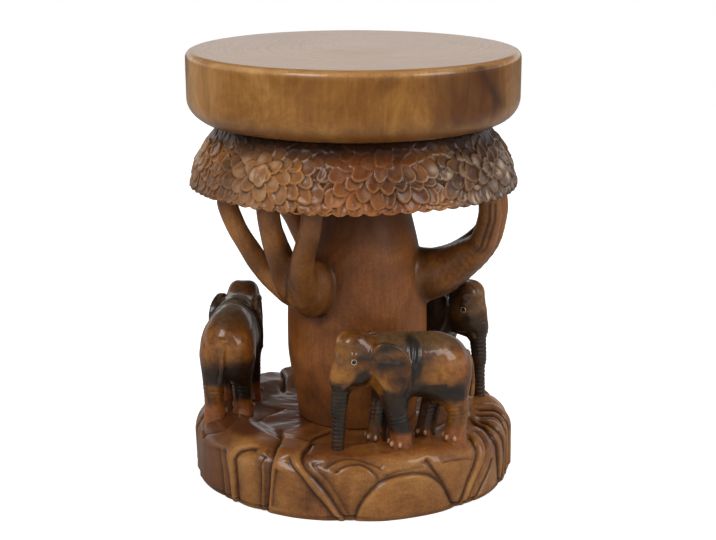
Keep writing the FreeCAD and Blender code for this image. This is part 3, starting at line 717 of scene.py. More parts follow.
def leaf_heights(along, up):
    """Relief of the overlapping leaves on the unrolled dome, their shade and their painted glints."""
    pick = np.random.default_rng(SEED + 1)
    relief = np.full(along.shape, LEAF_RELIEF[0])
    shade = np.zeros(along.shape)
    glint = np.zeros(along.shape)
    for place, level, heading, length, width, layer in leaf_layout():
        own_shade = pick.uniform(0, 0.75) ** 1.5
        own_glint = pick.uniform(0, 1) ** 1.4
        dx = wrapped(along - place, AROUND)
        near = (np.abs(dx) < length) & (np.abs(up - level) < length)
        da, db = dx[near], up[near] - level
        forward = (da * math.cos(heading) + db * math.sin(heading)) / length + 0.5
        across = -da * math.sin(heading) + db * math.cos(heading)
        wide = 0.5 * width * (0.7 + 0.3 * np.clip(forward / 0.5, 0, 1))
        beyond = np.maximum(forward - 0.5, 0) / 0.5
        edge = 1 - np.sqrt(beyond ** 2 + (across / (wide * (1 - 0.1 * beyond))) ** 2)
        form = layer - 2.5 + 1.9 * forward + 0.3 * hill(edge, 0.15, 0.16)
        form = form - 0.6 * smooth_step(edge, 0.18, 0.8)
        form = form - 3.5 * (1 - smooth_step(edge, -0.05, 0.06))
        # Painted glint on the upper middle of each leaf
        bright = own_glint * hill(forward, 0.66, 0.2) * hill(across, 0.12 * width, 0.24 * width)
        wins = (edge > -0.05) & (forward > 0) & (form > relief[near])
        for grid, value in ((relief, form), (shade, own_shade), (glint, bright)):
            grid[near] = np.where(wins, value, grid[near])
    return relief, shade, glint


def softened(values, steps):
    """Grid of a turned surface, blurred round and along it."""
    for _ in range(steps):
        values = (np.roll(values, 1, 0) + 2 * values + np.roll(values, -1, 0)) / 4
        padded = np.concatenate([values[:, :1], values, values[:, -1:]], 1)
        values = (padded[:, :-2] + 2 * values + padded[:, 2:]) / 4
    return values


def hollows(lift, steps, gain):
    """How deep each point lies below its surroundings, and how far above them."""
    depth = (softened(lift, steps) - lift) * gain
    return np.clip(depth, 0, 1), np.clip(-depth, 0, 1)


def dome_relief(spots):
    """Leaves in relief, flattened towards the top and in the middle of the front."""
    leaves, spots.shade, spots.glint = leaf_heights(spots.turns * CANOPY_RADIUS,
                                                    np.maximum(spots.up, 0))
    region_weight = hill(turn_from(spots.turns, FRONT), 3, 24)
    fade = 1 - 0.65 * smooth_step(spots.up, 54 - 24 * region_weight, 70 - 20 * region_weight)
    return (np.clip(leaves, *LEAF_RELIEF) * fade - 0.7) * smooth_step(spots.up, -3, 1)


def dome_paint(spots):
    """Darker right side, reddish middle, painted shade on the shoulder under the seat and in the seams
    between leaves, painted highlights on raised rims, painted glints on the leaves and a painted pale sheen
    on the left.
    """
    up = spots.up
    turn = turn_from(spots.turns, FRONT)
    cloud = drum_noise(spots, 26, 41) + 0.4 * drum_noise(spots, 9, 42)
    right = smooth_step(turn + 12 * cloud, 20, 44) * (1 - smooth_step(turn, 140, 178))
    left = smooth_step(-turn + 12 * cloud, 66, 84) * (1 - smooth_step(-turn, 140, 178))
    patch = 0.5 * hill(turn, -11, 6) * hill(up, 45, 22)
    # Painted shade on the shoulder under the seat
    under = smooth_step(up + 5 * cloud, 42, 74)
    rust = smooth_step(turn + 8 * cloud, -22, -8) * (1 - smooth_step(turn, 20, 34)) + 0.5 * right
    tone = np.clip(0.95 * right + patch + 0.3 * np.clip(cloud, 0, 1), 0, 1)
    # Painted shade in the seams between leaves, painted highlight on their raised rims
    groove, crest = hollows(spots.lift, 5 // COARSE, 1.7)
    # Painted glints, strongest on the right and at the left rosette, and a painted pale sheen on the left
    shiny = right * (1 - 0.55 * smooth_step(turn, 72, 100))
    glossy = 0.22 + 0.95 * shiny + 0.6 * hill(turn, -38, 12) + 0.3 * left
    pale = spots.glint * glossy + 0.03 * right + 0.2 * left + 0.1 * hill(turn, -38, 10)
    painted = {"groove": np.maximum(0.85 * groove, 0.9 * under), "crest": crest,
               "shade": spots.shade, "rust": rust, "pale": pale * (1 - under)}
    painted = {label: values * (up > 0) for label, values in painted.items()}
    return {"tone": np.maximum(tone, 0.8 * under), **painted}


def rim_wave(points):
    """Lifts the rim's lower edge between the tips that hang over it."""
    x, y, z = points.T
    turns = np.arctan2(y, x)
    wave = np.abs(np.sin(turns * RIM_LEAF_COUNT / 2 + 0.7 * np.sin(turns * 3) + 0.5 * np.sin(turns * 7)))
    wave = 2.8 * (1 - wave) ** 1.3 + 0.6 * (1 + np.sin(turns * 5 + 1))
    low = 1 - smooth_step(z, CANOPY_FOOT + 1, CANOPY_FOOT + 11)
    return np.stack([x, y, z + wave * low * smooth_step(np.hypot(x, y), 150, 166)], -1)


def make_canopy():
    radii, heights, rim = dome_outline()
    piece = turned_mesh("leaf_dome", radii, heights, int(AROUND / DOME_STEP), dome_relief,
                        dome_paint, foot=rim, adjust=rim_wave)
    wood = carved_wood("leaf_wood", ((66, 38, 28), (156, 98, 40), (188, 136, 72), (40, 21, 10)),
                       roughness=0.36, coat=0.36, coat_roughness=0.16)
    stand_for(piece, "leaf_wood", "canopy", wood)


# Stem: its axis stands a little to the right of the stool's

STEM_OFFSET = 4
STEM_COLUMNS = 300 // COARSE
STEM_PROFILE = ((58, 64), (72, 65), (105, 71), (130, 74.6), (160, 75), (185, 74.6), (243, 65.5),
                (265, 60.5), (290, 54), (314, 47))


def stem_radius(height):
    """Radius of the stem at a height."""
    levels, radii = zip(*STEM_PROFILE)
    return np.interp(height, levels, radii)


def stem_gap(x, y, z):
    """Distance out from the stem's surface."""
    return np.hypot(x - STEM_OFFSET, y) - stem_radius(z)


def stem_relief(spots):
    """Soft facets left by the knife, always inwards."""
    wave = drum_noise(spots, 22, 5, radius=60, stretch=0.25)
    return 0.9 * wave + 0.25 * drum_noise(spots, 9, 6, radius=60, stretch=0.2) - 1.1


def stem_paint(spots):
    """Painted shade: darker at both ends, under the dome and at the foot on the mound, next to the left fork
    near the top, and in the forks' shadow.
    """
    level = spots.level
    reach = stem_radius(level)
    gap = limb_fields(reach * np.cos(spots.turns) + STEM_OFFSET, reach * np.sin(spots.turns), level)
    # Painted shade near the forks, next to the left fork near the top, and at both ends
    shadow = 0.45 * (1 - smooth_step(gap, 0, 14))
    behind = 0.55 * hill(turn_from(spots.turns, -115), 0, 32) * smooth_step(level, 240, 300)
    ends = smooth_step(level, 215, 300) + 1 - smooth_step(level, 62, 78)
    return {"tone": np.clip(0.5 * ends, 0, 1), "groove": np.maximum(shadow, behind)}


def make_stem():
    levels = np.linspace(STEM_PROFILE[0][0] + 1, STEM_PROFILE[-1][0], 100)
    soft = stem_radius(levels)
    soft[3:-3] = np.convolve(soft, np.ones(7) / 7, "valid")
    radii = np.concatenate([[0, 40], soft, [30, 0]])
    heights = np.concatenate([[levels[0]] * 2, levels, [levels[-1]] * 2])
    piece = turned_mesh("tree_stem", radii, heights, STEM_COLUMNS, stem_relief, stem_paint,
                        adjust=lambda points: points + (STEM_OFFSET, 0, 0))
    wood = carved_wood("stem_wood", ((72, 40, 20), (130, 76, 32), (158, 98, 48), (38, 20, 10)),
                       roughness=0.5, coat=0.15, coat_roughness=0.3, grain_stretch=(1, 1, 0.08))
    stand_for(piece, "stem_wood", "trunk", wood)


# Forks of branches: each branch is a row of places (turn, distance from the axis, height, radius)

FORKS = {
    "left": (
        ((-146.5, 150, 314, 10.5), (-146.5, 150, 303, 10.3), (-145, 142, 280, 10), (-146, 127, 257, 10.5),
         (-146, 108, 231, 12), (-138, 87, 210, 16)),
        ((-123.6, 150, 316, 11.5), (-123.6, 150, 306, 11.5), (-125, 140, 283, 11.8), (-127.5, 122, 257, 13.5),
         (-130.5, 103, 231, 14.5), (-130, 86, 210, 17)),
        ((-105.3, 150, 316, 10.5), (-105.3, 150, 307, 10.5), (-107.6, 141.5, 285, 10.5),
         (-113, 126, 259, 11.5), (-118, 110, 234, 13), (-123.5, 92, 211, 17)),
    ),
    "right": (
        ((-19, 146, 314, 11.5), (-19, 146, 303, 11.5), (-18, 146, 282, 12), (-15, 136, 252, 14),
         (-10, 113, 231, 19), (-6, 88, 215, 23)),
        ((-3, 148, 314, 11.5), (-3, 148, 303, 11.5), (-3, 149, 281, 12), (-3, 139, 250, 14.5),
         (-3, 115, 228, 19.5), (-3, 88, 214, 25)),
        ((13, 149, 314, 11.5), (13, 149, 303, 11.5), (12, 151, 282, 12), (9, 142, 252, 13),
         (5, 116, 229, 18), (0, 88, 214, 23)),
    ),
    "rear": (
        ((95, 149, 316, 11), (95, 149, 305, 11), (98, 140, 282, 11.5), (103, 123, 256, 12.5),
         (108, 104, 231, 15), (112, 86, 210, 19)),
        ((113, 150, 316, 10), (113, 150, 305, 10), (113.4, 140, 282, 10.5), (114, 122, 256, 12),
         (115, 103, 231, 14), (115, 86, 210, 18)),
        ((131, 149, 316, 10.5), (131, 149, 305, 10.5), (128.5, 140, 282, 11), (124, 122, 256, 12),
         (120, 104, 231, 14.5), (117, 86, 210, 19)),
    ),
}
# Root lobe of each fork: turn, distance, height, half sizes
LOBES = {"left": ((-124, 76, 213), (24, 21, 31)), "right": ((-3, 72, 211), (24, 27, 28)),
         "rear": ((115, 76, 212), (24, 27, 34))}
# Turn of each fork's side with painted shade
SHADED_TURNS = {"left": -95, "right": -60, "rear": 0}
FORK_STEP = 1.25 * COARSE


def round_place(turn, reach, height):
    """Place at a turn in degrees and a distance from the axis."""
    angle = math.radians(turn)
    return (reach * math.cos(angle), reach * math.sin(angle), height)


def fork_field(name, x, y, z):
    """Field of one fork, and how near the point is to a crease between two branches."""
    branches = []
    for joints in FORKS[name]:
        row = [(round_place(turn, reach, height), radius) for turn, reach, height, radius in joints]
        branches.append(chain(x, y, z, row))
    ordered = np.sort(np.stack(branches), axis=0)
    crease = hill(ordered[1] - ordered[0], 0, 2.2)
    field = branches[0]
    for item in branches[1:]:
        field = blend(field, item, 6)
    (turn, reach, height), radii = LOBES[name]
    lobe = egg(x, y, z, round_place(turn, reach, height), radii, turn)
    field = blend(field, lobe, 9)
    if name == "right":
        split = rib_lines(x, y, z)
        return field + 1.4 * split, np.maximum(crease, split)
    return field, crease


def rib_lines(x, y, z):
    """Two thin lines cut along the upright part of the right fork's front branch."""
    middle = np.interp(z, (228, 252, 282, 303), (111, 131, 138.5, 138.5))
    lines = np.maximum(hill(x - middle, -1, 1.5), hill(x - middle, 5, 1.5))
    return lines * (y < -30) * smooth_step(z, 238, 256)


def limb_fields(x, y, z):
    """Distance to the nearest fork."""
    return np.minimum.reduce([fork_field(name, x, y, z)[0] for name in FORKS])


def make_fork(name, wood):
    """One fork, its foot swept against the stem and its tips just inside the dome."""
    def field(x, y, z):
        fork = fork_field(name, x, y, z)[0] + 0.35 * lattice_noise(x, y, z * 0.35, 9, 11)
        gap = stem_gap(x, y, z)
        swept = np.maximum(blend(fork, gap + 2.7, 9), fork - 10)
        return np.maximum(swept, np.maximum(-gap - 3.5, z - (CANOPY_FOOT + 3)))

    low, high = node_box("limbs_" + name)
    points, quads = surface_net(field, low - (16, 16, 30), high + (12, 12, 8), FORK_STEP)
    x, y, z = points.T
    turns = np.arctan2(y, x)
    crease = fork_field(name, x, y, z)[1]
    # Painted shade in the creases between branches, in the cut lines and where the fork meets the stem
    groove = np.maximum(0.7 * crease * (z < 300), 0.4 * (1 - smooth_step(stem_gap(x, y, z), 0, 9)))
    # Painted shade on each fork's shaded side and under the dome
    tone = 0.45 * hill(turn_from(turns, SHADED_TURNS[name]), 0, 16) + 0.3 * smooth_step(z, 285, 310)
    # Painted highlight along the right fork's outer edge
    outer = 0.9 * smooth_step(np.hypot(x, y), 148, 157) * hill(turn_from(turns, -12), 0, 16)
    crest = outer * smooth_step(z, 238, 262) * (name == "right")
    piece = mesh_object("branches_" + name, points, [quads],
                        {"groove": groove, "tone": tone, "crest": crest})
    stand_for(piece, "stem_wood", "limbs_" + name, wood)


def make_forks():
    wood = carved_wood("branch_wood", ((70, 40, 20), (134, 84, 38), (160, 106, 56), (40, 22, 12)),
                       roughness=0.42, coat=0.3, coat_roughness=0.2)
    for name in FORKS:
        make_fork(name, wood)


# Root mound. Carved lines are places on the unrolled mound: turn in degrees and the length
# along the outline from the foot. A positive side drops the ground to the line's left.

BASE_PROFILE = ((167.5, 0), (171, 5), (171, 43))
FRONT_LINES = (
    (1, 2.6, ((-159, 50), (-157.5, 58.5), (-152.8, 67), (-148.3, 78))),
    (-1, 2.4, ((-145.5, 56.5), (-143.5, 31.5), (-142.5, 0))),
    (-1, 2.4, ((-142, 58.5), (-139.3, 30), (-138.2, 0))),
    (1, 3.0, ((-125.7, 71.5), (-130.8, 68.5), (-134.8, 60.5), (-136.5, 50), (-136.2, 40),
            (-135.5, 22.5), (-135.2, 0))),
    (-1, 2.4, ((-123.2, 66), (-124.2, 54.5), (-123.8, 36), (-124.2, 0))),
    (1, 1.6, ((-124.2, 76.5), (-122.8, 62.5), (-122.2, 43), (-122.8, 4))),
    (-1, 3.4, ((-142.8, 136), (-129, 116), (-122.2, 89.5), (-120.2, 71.5), (-120, 61), (-120, 49),
            (-120.5, 27.5), (-121.5, 0))),
    (1, 1.8, ((-117.3, 54), (-118.7, 29), (-119.3, 6))),
    (-1, 2.2, ((-114.5, 71), (-112, 58), (-109, 50.5), (-104.5, 33.5), (-99.5, 17.5), (-95.2, 0))),
    (1, 3.0, ((-111.2, 140), (-110.2, 97), (-109.5, 75), (-109, 66), (-106.8, 56), (-103.5, 45),
            (-98.8, 29.5), (-92.8, 0))),
    (1, 2.0, ((-105.2, 69.5), (-103.8, 58), (-100.2, 49.5), (-98, 41), (-94.5, 23.5), (-90.8, 3))),
    (1, 2.2, ((-96.5, 50), (-95.2, 58.5), (-91.8, 64), (-87.8, 65), (-84.5, 59.5), (-82.2, 49.5),
            (-81.2, 41))),
    (1, 1.8, ((-100.5, 55.5), (-97.8, 65.5), (-93, 73.5), (-87.8, 72), (-83, 63.5), (-78.5, 53.5))),
    (1, 2.8, ((-89.5, 0), (-88.8, 12.5), (-86.2, 27), (-82, 40), (-78.5, 45.5), (-74.5, 48.5),
            (-69.2, 49), (-63.8, 44.5), (-60, 36.5), (-56.5, 26), (-53.5, 7.5), (-52, 0))),
    (1, 1.4, ((-80, 47), (-75.5, 53), (-69, 55), (-62.8, 54.5))),
    (-1, 2.6, ((-64, 66), (-62.5, 58.5), (-61, 48), (-57.2, 33), (-54.8, 18.5), (-51.8, 2))),
    (1, 1.2, ((-58.8, 55), (-53, 55.5), (-46.5, 51.5), (-42.5, 45.5))),
    (-1, 2.6, ((-38, 84), (-39.5, 66.5), (-40.2, 54), (-42.5, 39), (-46.5, 23), (-49.8, 0))),
    (1, 2.2, ((-32, 92), (-34.2, 66.5), (-35.5, 52), (-37.8, 38), (-42.2, 23.5), (-47.5, 0))),
    (-1, 3.2, ((-19, 104), (-25.5, 75.5), (-27, 59.5), (-24.8, 36.5), (-22.8, 0))),
    (-1, 2.4, ((-19, 94), (-21.2, 78), (-21, 64), (-20, 48), (-16.8, 27.5), (-20.2, 2))),
    (-1, 2.6, ((-11.5, 104), (-9.8, 76.5), (-10.8, 64), (-13.2, 40), (-14, 0))),
    (1, 2.2, ((-19.5, 92.5), (-16, 77), (-14.8, 65), (-15.5, 30))),
    (-1, 2.0, ((-30.2, 40), (-32.2, 29.5), (-37.8, 15), (-42.8, 0))),
    (1, 2.0, ((-156, 113.5), (-172, 139.5), (-185.5, 156.5))),
    (1, 2.0, ((-109.2, 168), (-114.8, 147.5), (-116.2, 133), (-112.5, 101.5))),
    (-1, 2.8, ((-4, 104), (-3, 80), (-5, 60), (-6.5, 30), (-8, 0))),
    (1, 2.2, ((3, 98), (4, 78), (2.5, 62), (0, 36), (-1, 0))),
    (-1, 2.4, ((-170, 88), (-168, 70), (-164, 56), (-163, 30), (-164, 0))),
    (1, 2.0, ((-178, 96), (-175, 72), (-173, 58), (-176, 30), (-178, 0))),
)


# How deep the folds are, for all lines alike, and how far each one reaches
FOLD_DEPTH = 1.8
FOLD_REACH = 26
MOUND_STEP = 1.4 * COARSE
# Rounded shoulder over the wall, the top inside it and the dish round the stem
SHOULDER = 24.6
SHOULDER_ARC = math.radians(78)
MOUND_TOP = BASE_HEIGHT - 0.5
DISH_LEVEL = 60


def base_outline():
    """Radii and heights from the axis below to the axis above."""
    radii, heights = [0, 90, 140, 160], [0] * 4
    for (r0, z0), (r1, z1) in zip(BASE_PROFILE[:-1], BASE_PROFILE[1:]):
        count = max(int(math.hypot(r1 - r0, z1 - z0) / MOUND_STEP), 2)
        radii += list(np.linspace(r0, r1, count, endpoint=False))
        heights += list(np.linspace(z0, z1, count, endpoint=False))
    wall_radius, wall_top = BASE_PROFILE[-1]
    arc = np.linspace(0, SHOULDER_ARC, 30 // COARSE)
    top = np.arange(151, 126, -1.3 * COARSE)
    dish = np.arange(125, 62, -1.6 * COARSE)
    radii += [*(wall_radius - SHOULDER * (1 - np.cos(arc))), *top, *dish, 40, 0]
    heights += [*(wall_top + SHOULDER * np.sin(arc)), *np.full(len(top), MOUND_TOP),
                *(DISH_LEVEL + (MOUND_TOP - DISH_LEVEL) * smooth_step(dish, 100, 126)),
                DISH_LEVEL, DISH_LEVEL]
    return np.array(radii), np.array(heights)


def line_relief(along, up, side, depth, joints):
    """Carved line: steep on its high side, fading slowly on the low one."""
    places = np.array([(math.radians(turn) * DRUM, length) for turn, length in joints])
    index = np.arange(len(places))
    fine = np.linspace(0, index[-1], 6 * index[-1] + 1)
    path = evened(np.stack([np.interp(fine, index, column) for column in places.T], -1), 4)
    middle = path[:, 0].mean()
    shift = wrapped(along - middle, 2 * math.pi * DRUM) + middle
    low, high = path.min(0) - FOLD_REACH, path.max(0) + FOLD_REACH
    near = (shift > low[0]) & (shift < high[0]) & (up > low[1]) & (up < high[1])
    px, py = shift[near], up[near]
    best = np.full(px.shape, np.inf)
    hand = np.zeros(px.shape)
    travel = np.zeros(px.shape)
    for number, (a, b) in enumerate(zip(path[:-1], path[1:])):
        share, dx, dy = from_segment(px, py, a, b)
        distance = np.hypot(dx, dy)
        closer = distance < best
        best = np.where(closer, distance, best)
        hand = np.where(closer, np.sign((b - a)[0] * dy - (b - a)[1] * dx), hand)
        travel = np.where(closer, (number + share) / (len(path) - 1), travel)
    fade = smooth_step(travel, 0, 0.12)
    if joints[-1][1] > 4:
        fade = fade * (1 - smooth_step(travel, 0.88, 1))
    if joints[0][1] <= 0:
        fade = np.ones(px.shape)
    signed = best * hand * side
    slow = np.exp(-signed / 12)
    fast = np.exp(signed / 1.7)
    result = np.zeros(along.shape)
    mark = np.zeros(along.shape)
    result[near] = -FOLD_DEPTH * depth * fade * np.where(signed > 0, slow, fast)
    mark[near] = fade * hill(best, 0, 1.1)
    return result, mark


def mound_lines():
    """The front's lines and, round the back, mirror images of those well inside the front."""
    back = [(-side, depth, [(6 - 0.97 * turn, length) for turn, length in joints])
            for side, depth, joints in FRONT_LINES
            if max(joints)[0] <= -8 and min(joints)[0] >= -158]
    return [*FRONT_LINES, *back]


def mound_relief(spots):
    """Carved folds and slow waves, always inwards."""
    along = wrapped(spots.turns, 2 * math.pi) * DRUM
    spots.folds = np.zeros(along.shape)
    spots.marks = np.zeros(along.shape)
    for side, depth, joints in mound_lines():
        fold, mark = line_relief(along, spots.up, side, depth, joints)
        spots.folds = np.minimum(spots.folds, fold) + 0.35 * np.maximum(spots.folds, fold)
        spots.marks = np.maximum(spots.marks, mark)
    wave = 0.8 * drum_noise(spots, 30, 7) + 0.25 * drum_noise(spots, 11, 8)
    return (spots.folds + wave - 0.9) * smooth_step(spots.up, -2, 3)


def mound_paint(spots):
    """Darker left side, reddish top, painted shade in the carved lines, in the hollows and on the low sides
    of the folds, and painted highlights on the ridges.
    """
    turn = turn_from(spots.turns, FRONT)
    top = smooth_step(spots.up, 58, 84)
    sides = 0.7 * smooth_step(-turn, 45, 52) + 0.2 * smooth_step(turn, 46, 60)
    tone = np.clip(sides + (0.22 + 0.5 * drum_noise(spots, 24, 43)) * top, 0, 0.95)
    # Painted shade in the hollows and, through the marks, along the carved lines; painted highlight on the
    # ridges
    groove, crest = hollows(spots.lift, 8 // COARSE, 0.9)
    return {"tone": tone, "groove": np.clip(0.3 * spots.marks + 0.6 * groove, 0, 1),
            "crest": crest, "rust": 0.6 * top, "shade": 0.85 * smooth_step(-spots.folds, 1.0, 6.5)}


def make_base():
    columns = int(2 * math.pi * BASE_RADIUS / MOUND_STEP)
    piece = turned_mesh("root_mound", *base_outline(), columns, mound_relief, mound_paint,
                        foot=BASE_PROFILE[0][0])
    wood = carved_wood("base_wood", ((86, 44, 18), (144, 92, 40), (180, 128, 66), (42, 22, 10)),
                       roughness=0.42, coat=0.5, coat_roughness=0.15, grain_stretch=(0.4, 0.4, 1),
                       grain_scale=220)
    stand_for(piece, "base_wood", "base", wood)


# Elephants, in their own frame: X towards the head, Y to the left, Z up from the ground

BODY_EGGS = (
    ((-38, 0, 74), (31, 24.5, 32)), ((-12, 0, 79), (44, 26.5, 33)), ((16, 0, 82), (26, 23, 31)),
    ((-43, 13, 62), (20, 12, 26)), ((-43, -13, 62), (20, 12, 26)),
    ((14, 14, 66), (15, 10, 24)), ((14, -14, 66), (15, 10, 24)),
)
LEGS = (
    (((-44, 12, 62), 15), ((-52, 13, 34), 11.5), ((-50, 13, 10), 10.5), ((-50, 13, -9), 12.5)),
    (((18, 13, 58), 12.5), ((13.5, 14, 32), 11), ((9, 14, 8), 11), ((8.5, 14, -9), 13)),
    (((18, -13, 58), 12.5), ((22, -13, 30), 10.5), ((25, -13, 8), 9.8), ((25, -13, -9), 12)),
    (((-38, -12, 60), 14), ((-34, -13, 34), 11), ((-28, -13, 8), 10), ((-28, -13, -9), 12.5)),
)
FEET = ((-50, 13, 11.6), (8.7, 14, 12), (25, -13, 11), (-28, -13, 11.4))
HEAD_EGGS = (
    ((50, 0, 92), (24, 18.5, 26)), ((56, 7, 108), (14, 9, 11)), ((56, -7, 108), (14, 9, 11)),
    ((56, 11, 80), (13, 7, 13)), ((56, -11, 80), (13, 7, 13)),
)
NECK = (((28, 0, 88), 24), ((44, 0, 90), 20))
JAW = (((46, 0, 68), 8), ((58, 0, 64), 5.5))
# Brow and tusk of the left side
BROW = (((67, 7, 98), 3), ((60, 16, 98.5), 3.2))
TUSK = (((63, 9, 70), 4), ((68, 10.5, 64), 2.6))
PROBOSCIS = (((62, 0, 86), 14), ((68, 0, 72), 11.5), ((68, 0, 60), 9.4), ((70, 0, 38), 8),
             ((69.5, 0, 30), 7.2), ((71, 0, 6), 6.4), ((72, 0, -8), 6))
TAIL = (((-66, 0, 86), 3.5), ((-71, 0, 72), 2.8), ((-73, 0, 56), 2.3), ((-71, 2, 42), 3.2))
EAR_OUTLINE = ((33, 112), (41, 106), (43, 92), (40, 78), (33, 66), (25, 57), (14, 54), (9, 62),
               (5, 76), (4, 90), (9, 102), (20, 110))
EYE_PLACE = (60, 17.2, 93)
BEAD_RADIUS = 2.3
RING_RADIUS = 2.6
RING_WIRE = 0.6
SOCKET_RADIUS = 2.7
NAIL_TURNS = (-66, -24, 20, 64)
NAIL_SIZE = (2.2, 2.2, 3.1)


def outline_distance(px, pz, outline):
    """Signed distance to a closed outline, negative inside."""
    places = np.array(outline, float)
    for _ in range(2):
        follow = np.roll(places, -1, axis=0)
        places = np.stack([places * 0.75 + follow * 0.25, places * 0.25 + follow * 0.75], 1).reshape(-1, 2)
    best = np.full(px.shape, np.inf)
    inside = np.zeros(px.shape, bool)
    for a, b in zip(places, np.roll(places, -1, axis=0)):
        share, dx, dz = from_segment(px, pz, a, b)
        best = np.minimum(best, np.hypot(dx, dz))
        crosses = (a[1] > pz) != (b[1] > pz)
        if b[1] != a[1]:
            inside ^= crosses & (px < (b[0] - a[0]) * (pz - a[1]) / (b[1] - a[1]) + a[0])
    return np.where(inside, -best, best)


def ear_field(x, y, z):
    """Thin folded plate that stands off the neck."""
    edge = outline_distance(x, z, EAR_OUTLINE)
    plane = 17.5 + (43 - x) * 0.24 - 2.2 * smooth_step(-edge, 1.5, 11)
    plane = plane + 0.9 * np.sin((z - 0.6 * x) * 0.30) * smooth_step(-edge, 0, 8)
    thick = 1.4 + 0.9 * hill(edge, -2.0, 2.0)
    away = np.abs(y - plane) * 0.95 - thick
    outer = np.hypot(np.maximum(edge + 1.2, 0), np.maximum(away, 0)) - 1.0
    return outer + np.minimum(np.maximum(edge + 1.2, away), 0)


def nail_places(stand_out):
    """Places of the toe nails round each foot."""
    for foot_x, foot_y, radius in FEET:
        for turn in NAIL_TURNS:
            x, y, _ = round_place(turn, radius + stand_out, 0)
            yield foot_x + x, foot_y + y


def ripple(value, period, shift=0):
    """Even folds."""
    return np.sin(value * 2 * math.pi / period + shift)


def elephant_field(x, y, z):
    """Body, legs, head, ears, tusks, trunk and tail in one skin with folds."""
    field = np.full(x.shape, 25.0)

    def join(form, low, high, width):
        near = np.ones(x.shape, bool)
        for value, a, b in zip((x, y, z), low, high):
            near &= (value > a - width - 4) & (value < b + width + 4)
        if near.any():
            field[near] = blend(field[near], form(x[near], y[near], z[near]), width)

    def join_egg(centre, radii, width):
        middle, half = np.array(centre), np.array(radii)
        join(lambda *at: egg(*at, centre, radii), middle - half, middle + half, width)

    def join_chain(joints, width):
        places = np.array([place for place, radius in joints])
        wide = max(radius for place, radius in joints)
        join(lambda *at: chain(*at, joints), places.min(0) - wide, places.max(0) + wide, width)

    for centre, radii in BODY_EGGS:
        join_egg(centre, radii, 14)
    for joints in LEGS:
        join_chain(joints, 7)
    join_chain(NECK, 9)
    for centre, radii in HEAD_EGGS:
        join_egg(centre, radii, 7)
    join_chain(JAW, 5)
    join_chain(PROBOSCIS, 6)
    for hand in (1, -1):
        for form, width in ((BROW, 4), (TUSK, 2.5)):
            join_chain([((px, py * hand, pz), radius) for (px, py, pz), radius in form], width)
        inner, outer = sorted((10 * hand, 34 * hand))
        join(lambda px, py, pz: ear_field(px, py * hand, pz), (0, inner, 48), (48, outer, 116), 3)
        eye_x, eye_y, eye_z = EYE_PLACE
        from_eye = np.sqrt((x - eye_x) ** 2 + (y - hand * (eye_y + 1.2)) ** 2 + (z - eye_z) ** 2)
        field = carve(field, from_eye - SOCKET_RADIUS, 1.5)
    join_chain(TAIL, 3)
    for nail_x, nail_y in nail_places(0):
        join_egg((nail_x, nail_y, 3.4), NAIL_SIZE, 1.0)
    snout = smooth_step(x, 56, 62) * (1 - smooth_step(z, 62, 74)) * (np.abs(y) < 14)
    field = field + 0.26 * snout * ripple(z, 4.2)
    knees = hill(z, 30, 9) * (z < 44)
    field = field + 0.28 * knees * ripple(z, 4.4, 0.25 * x)
    slant = x + 0.25 * (z - 80)
    field = field + 0.5 * hill(slant, 2, 7) * (z > 52) * ripple(slant, 6.5)
    return field + 0.35 * lattice_noise(x, y, z, 13, 21) + 0.12 * lattice_noise(x, y, z, 5, 22)


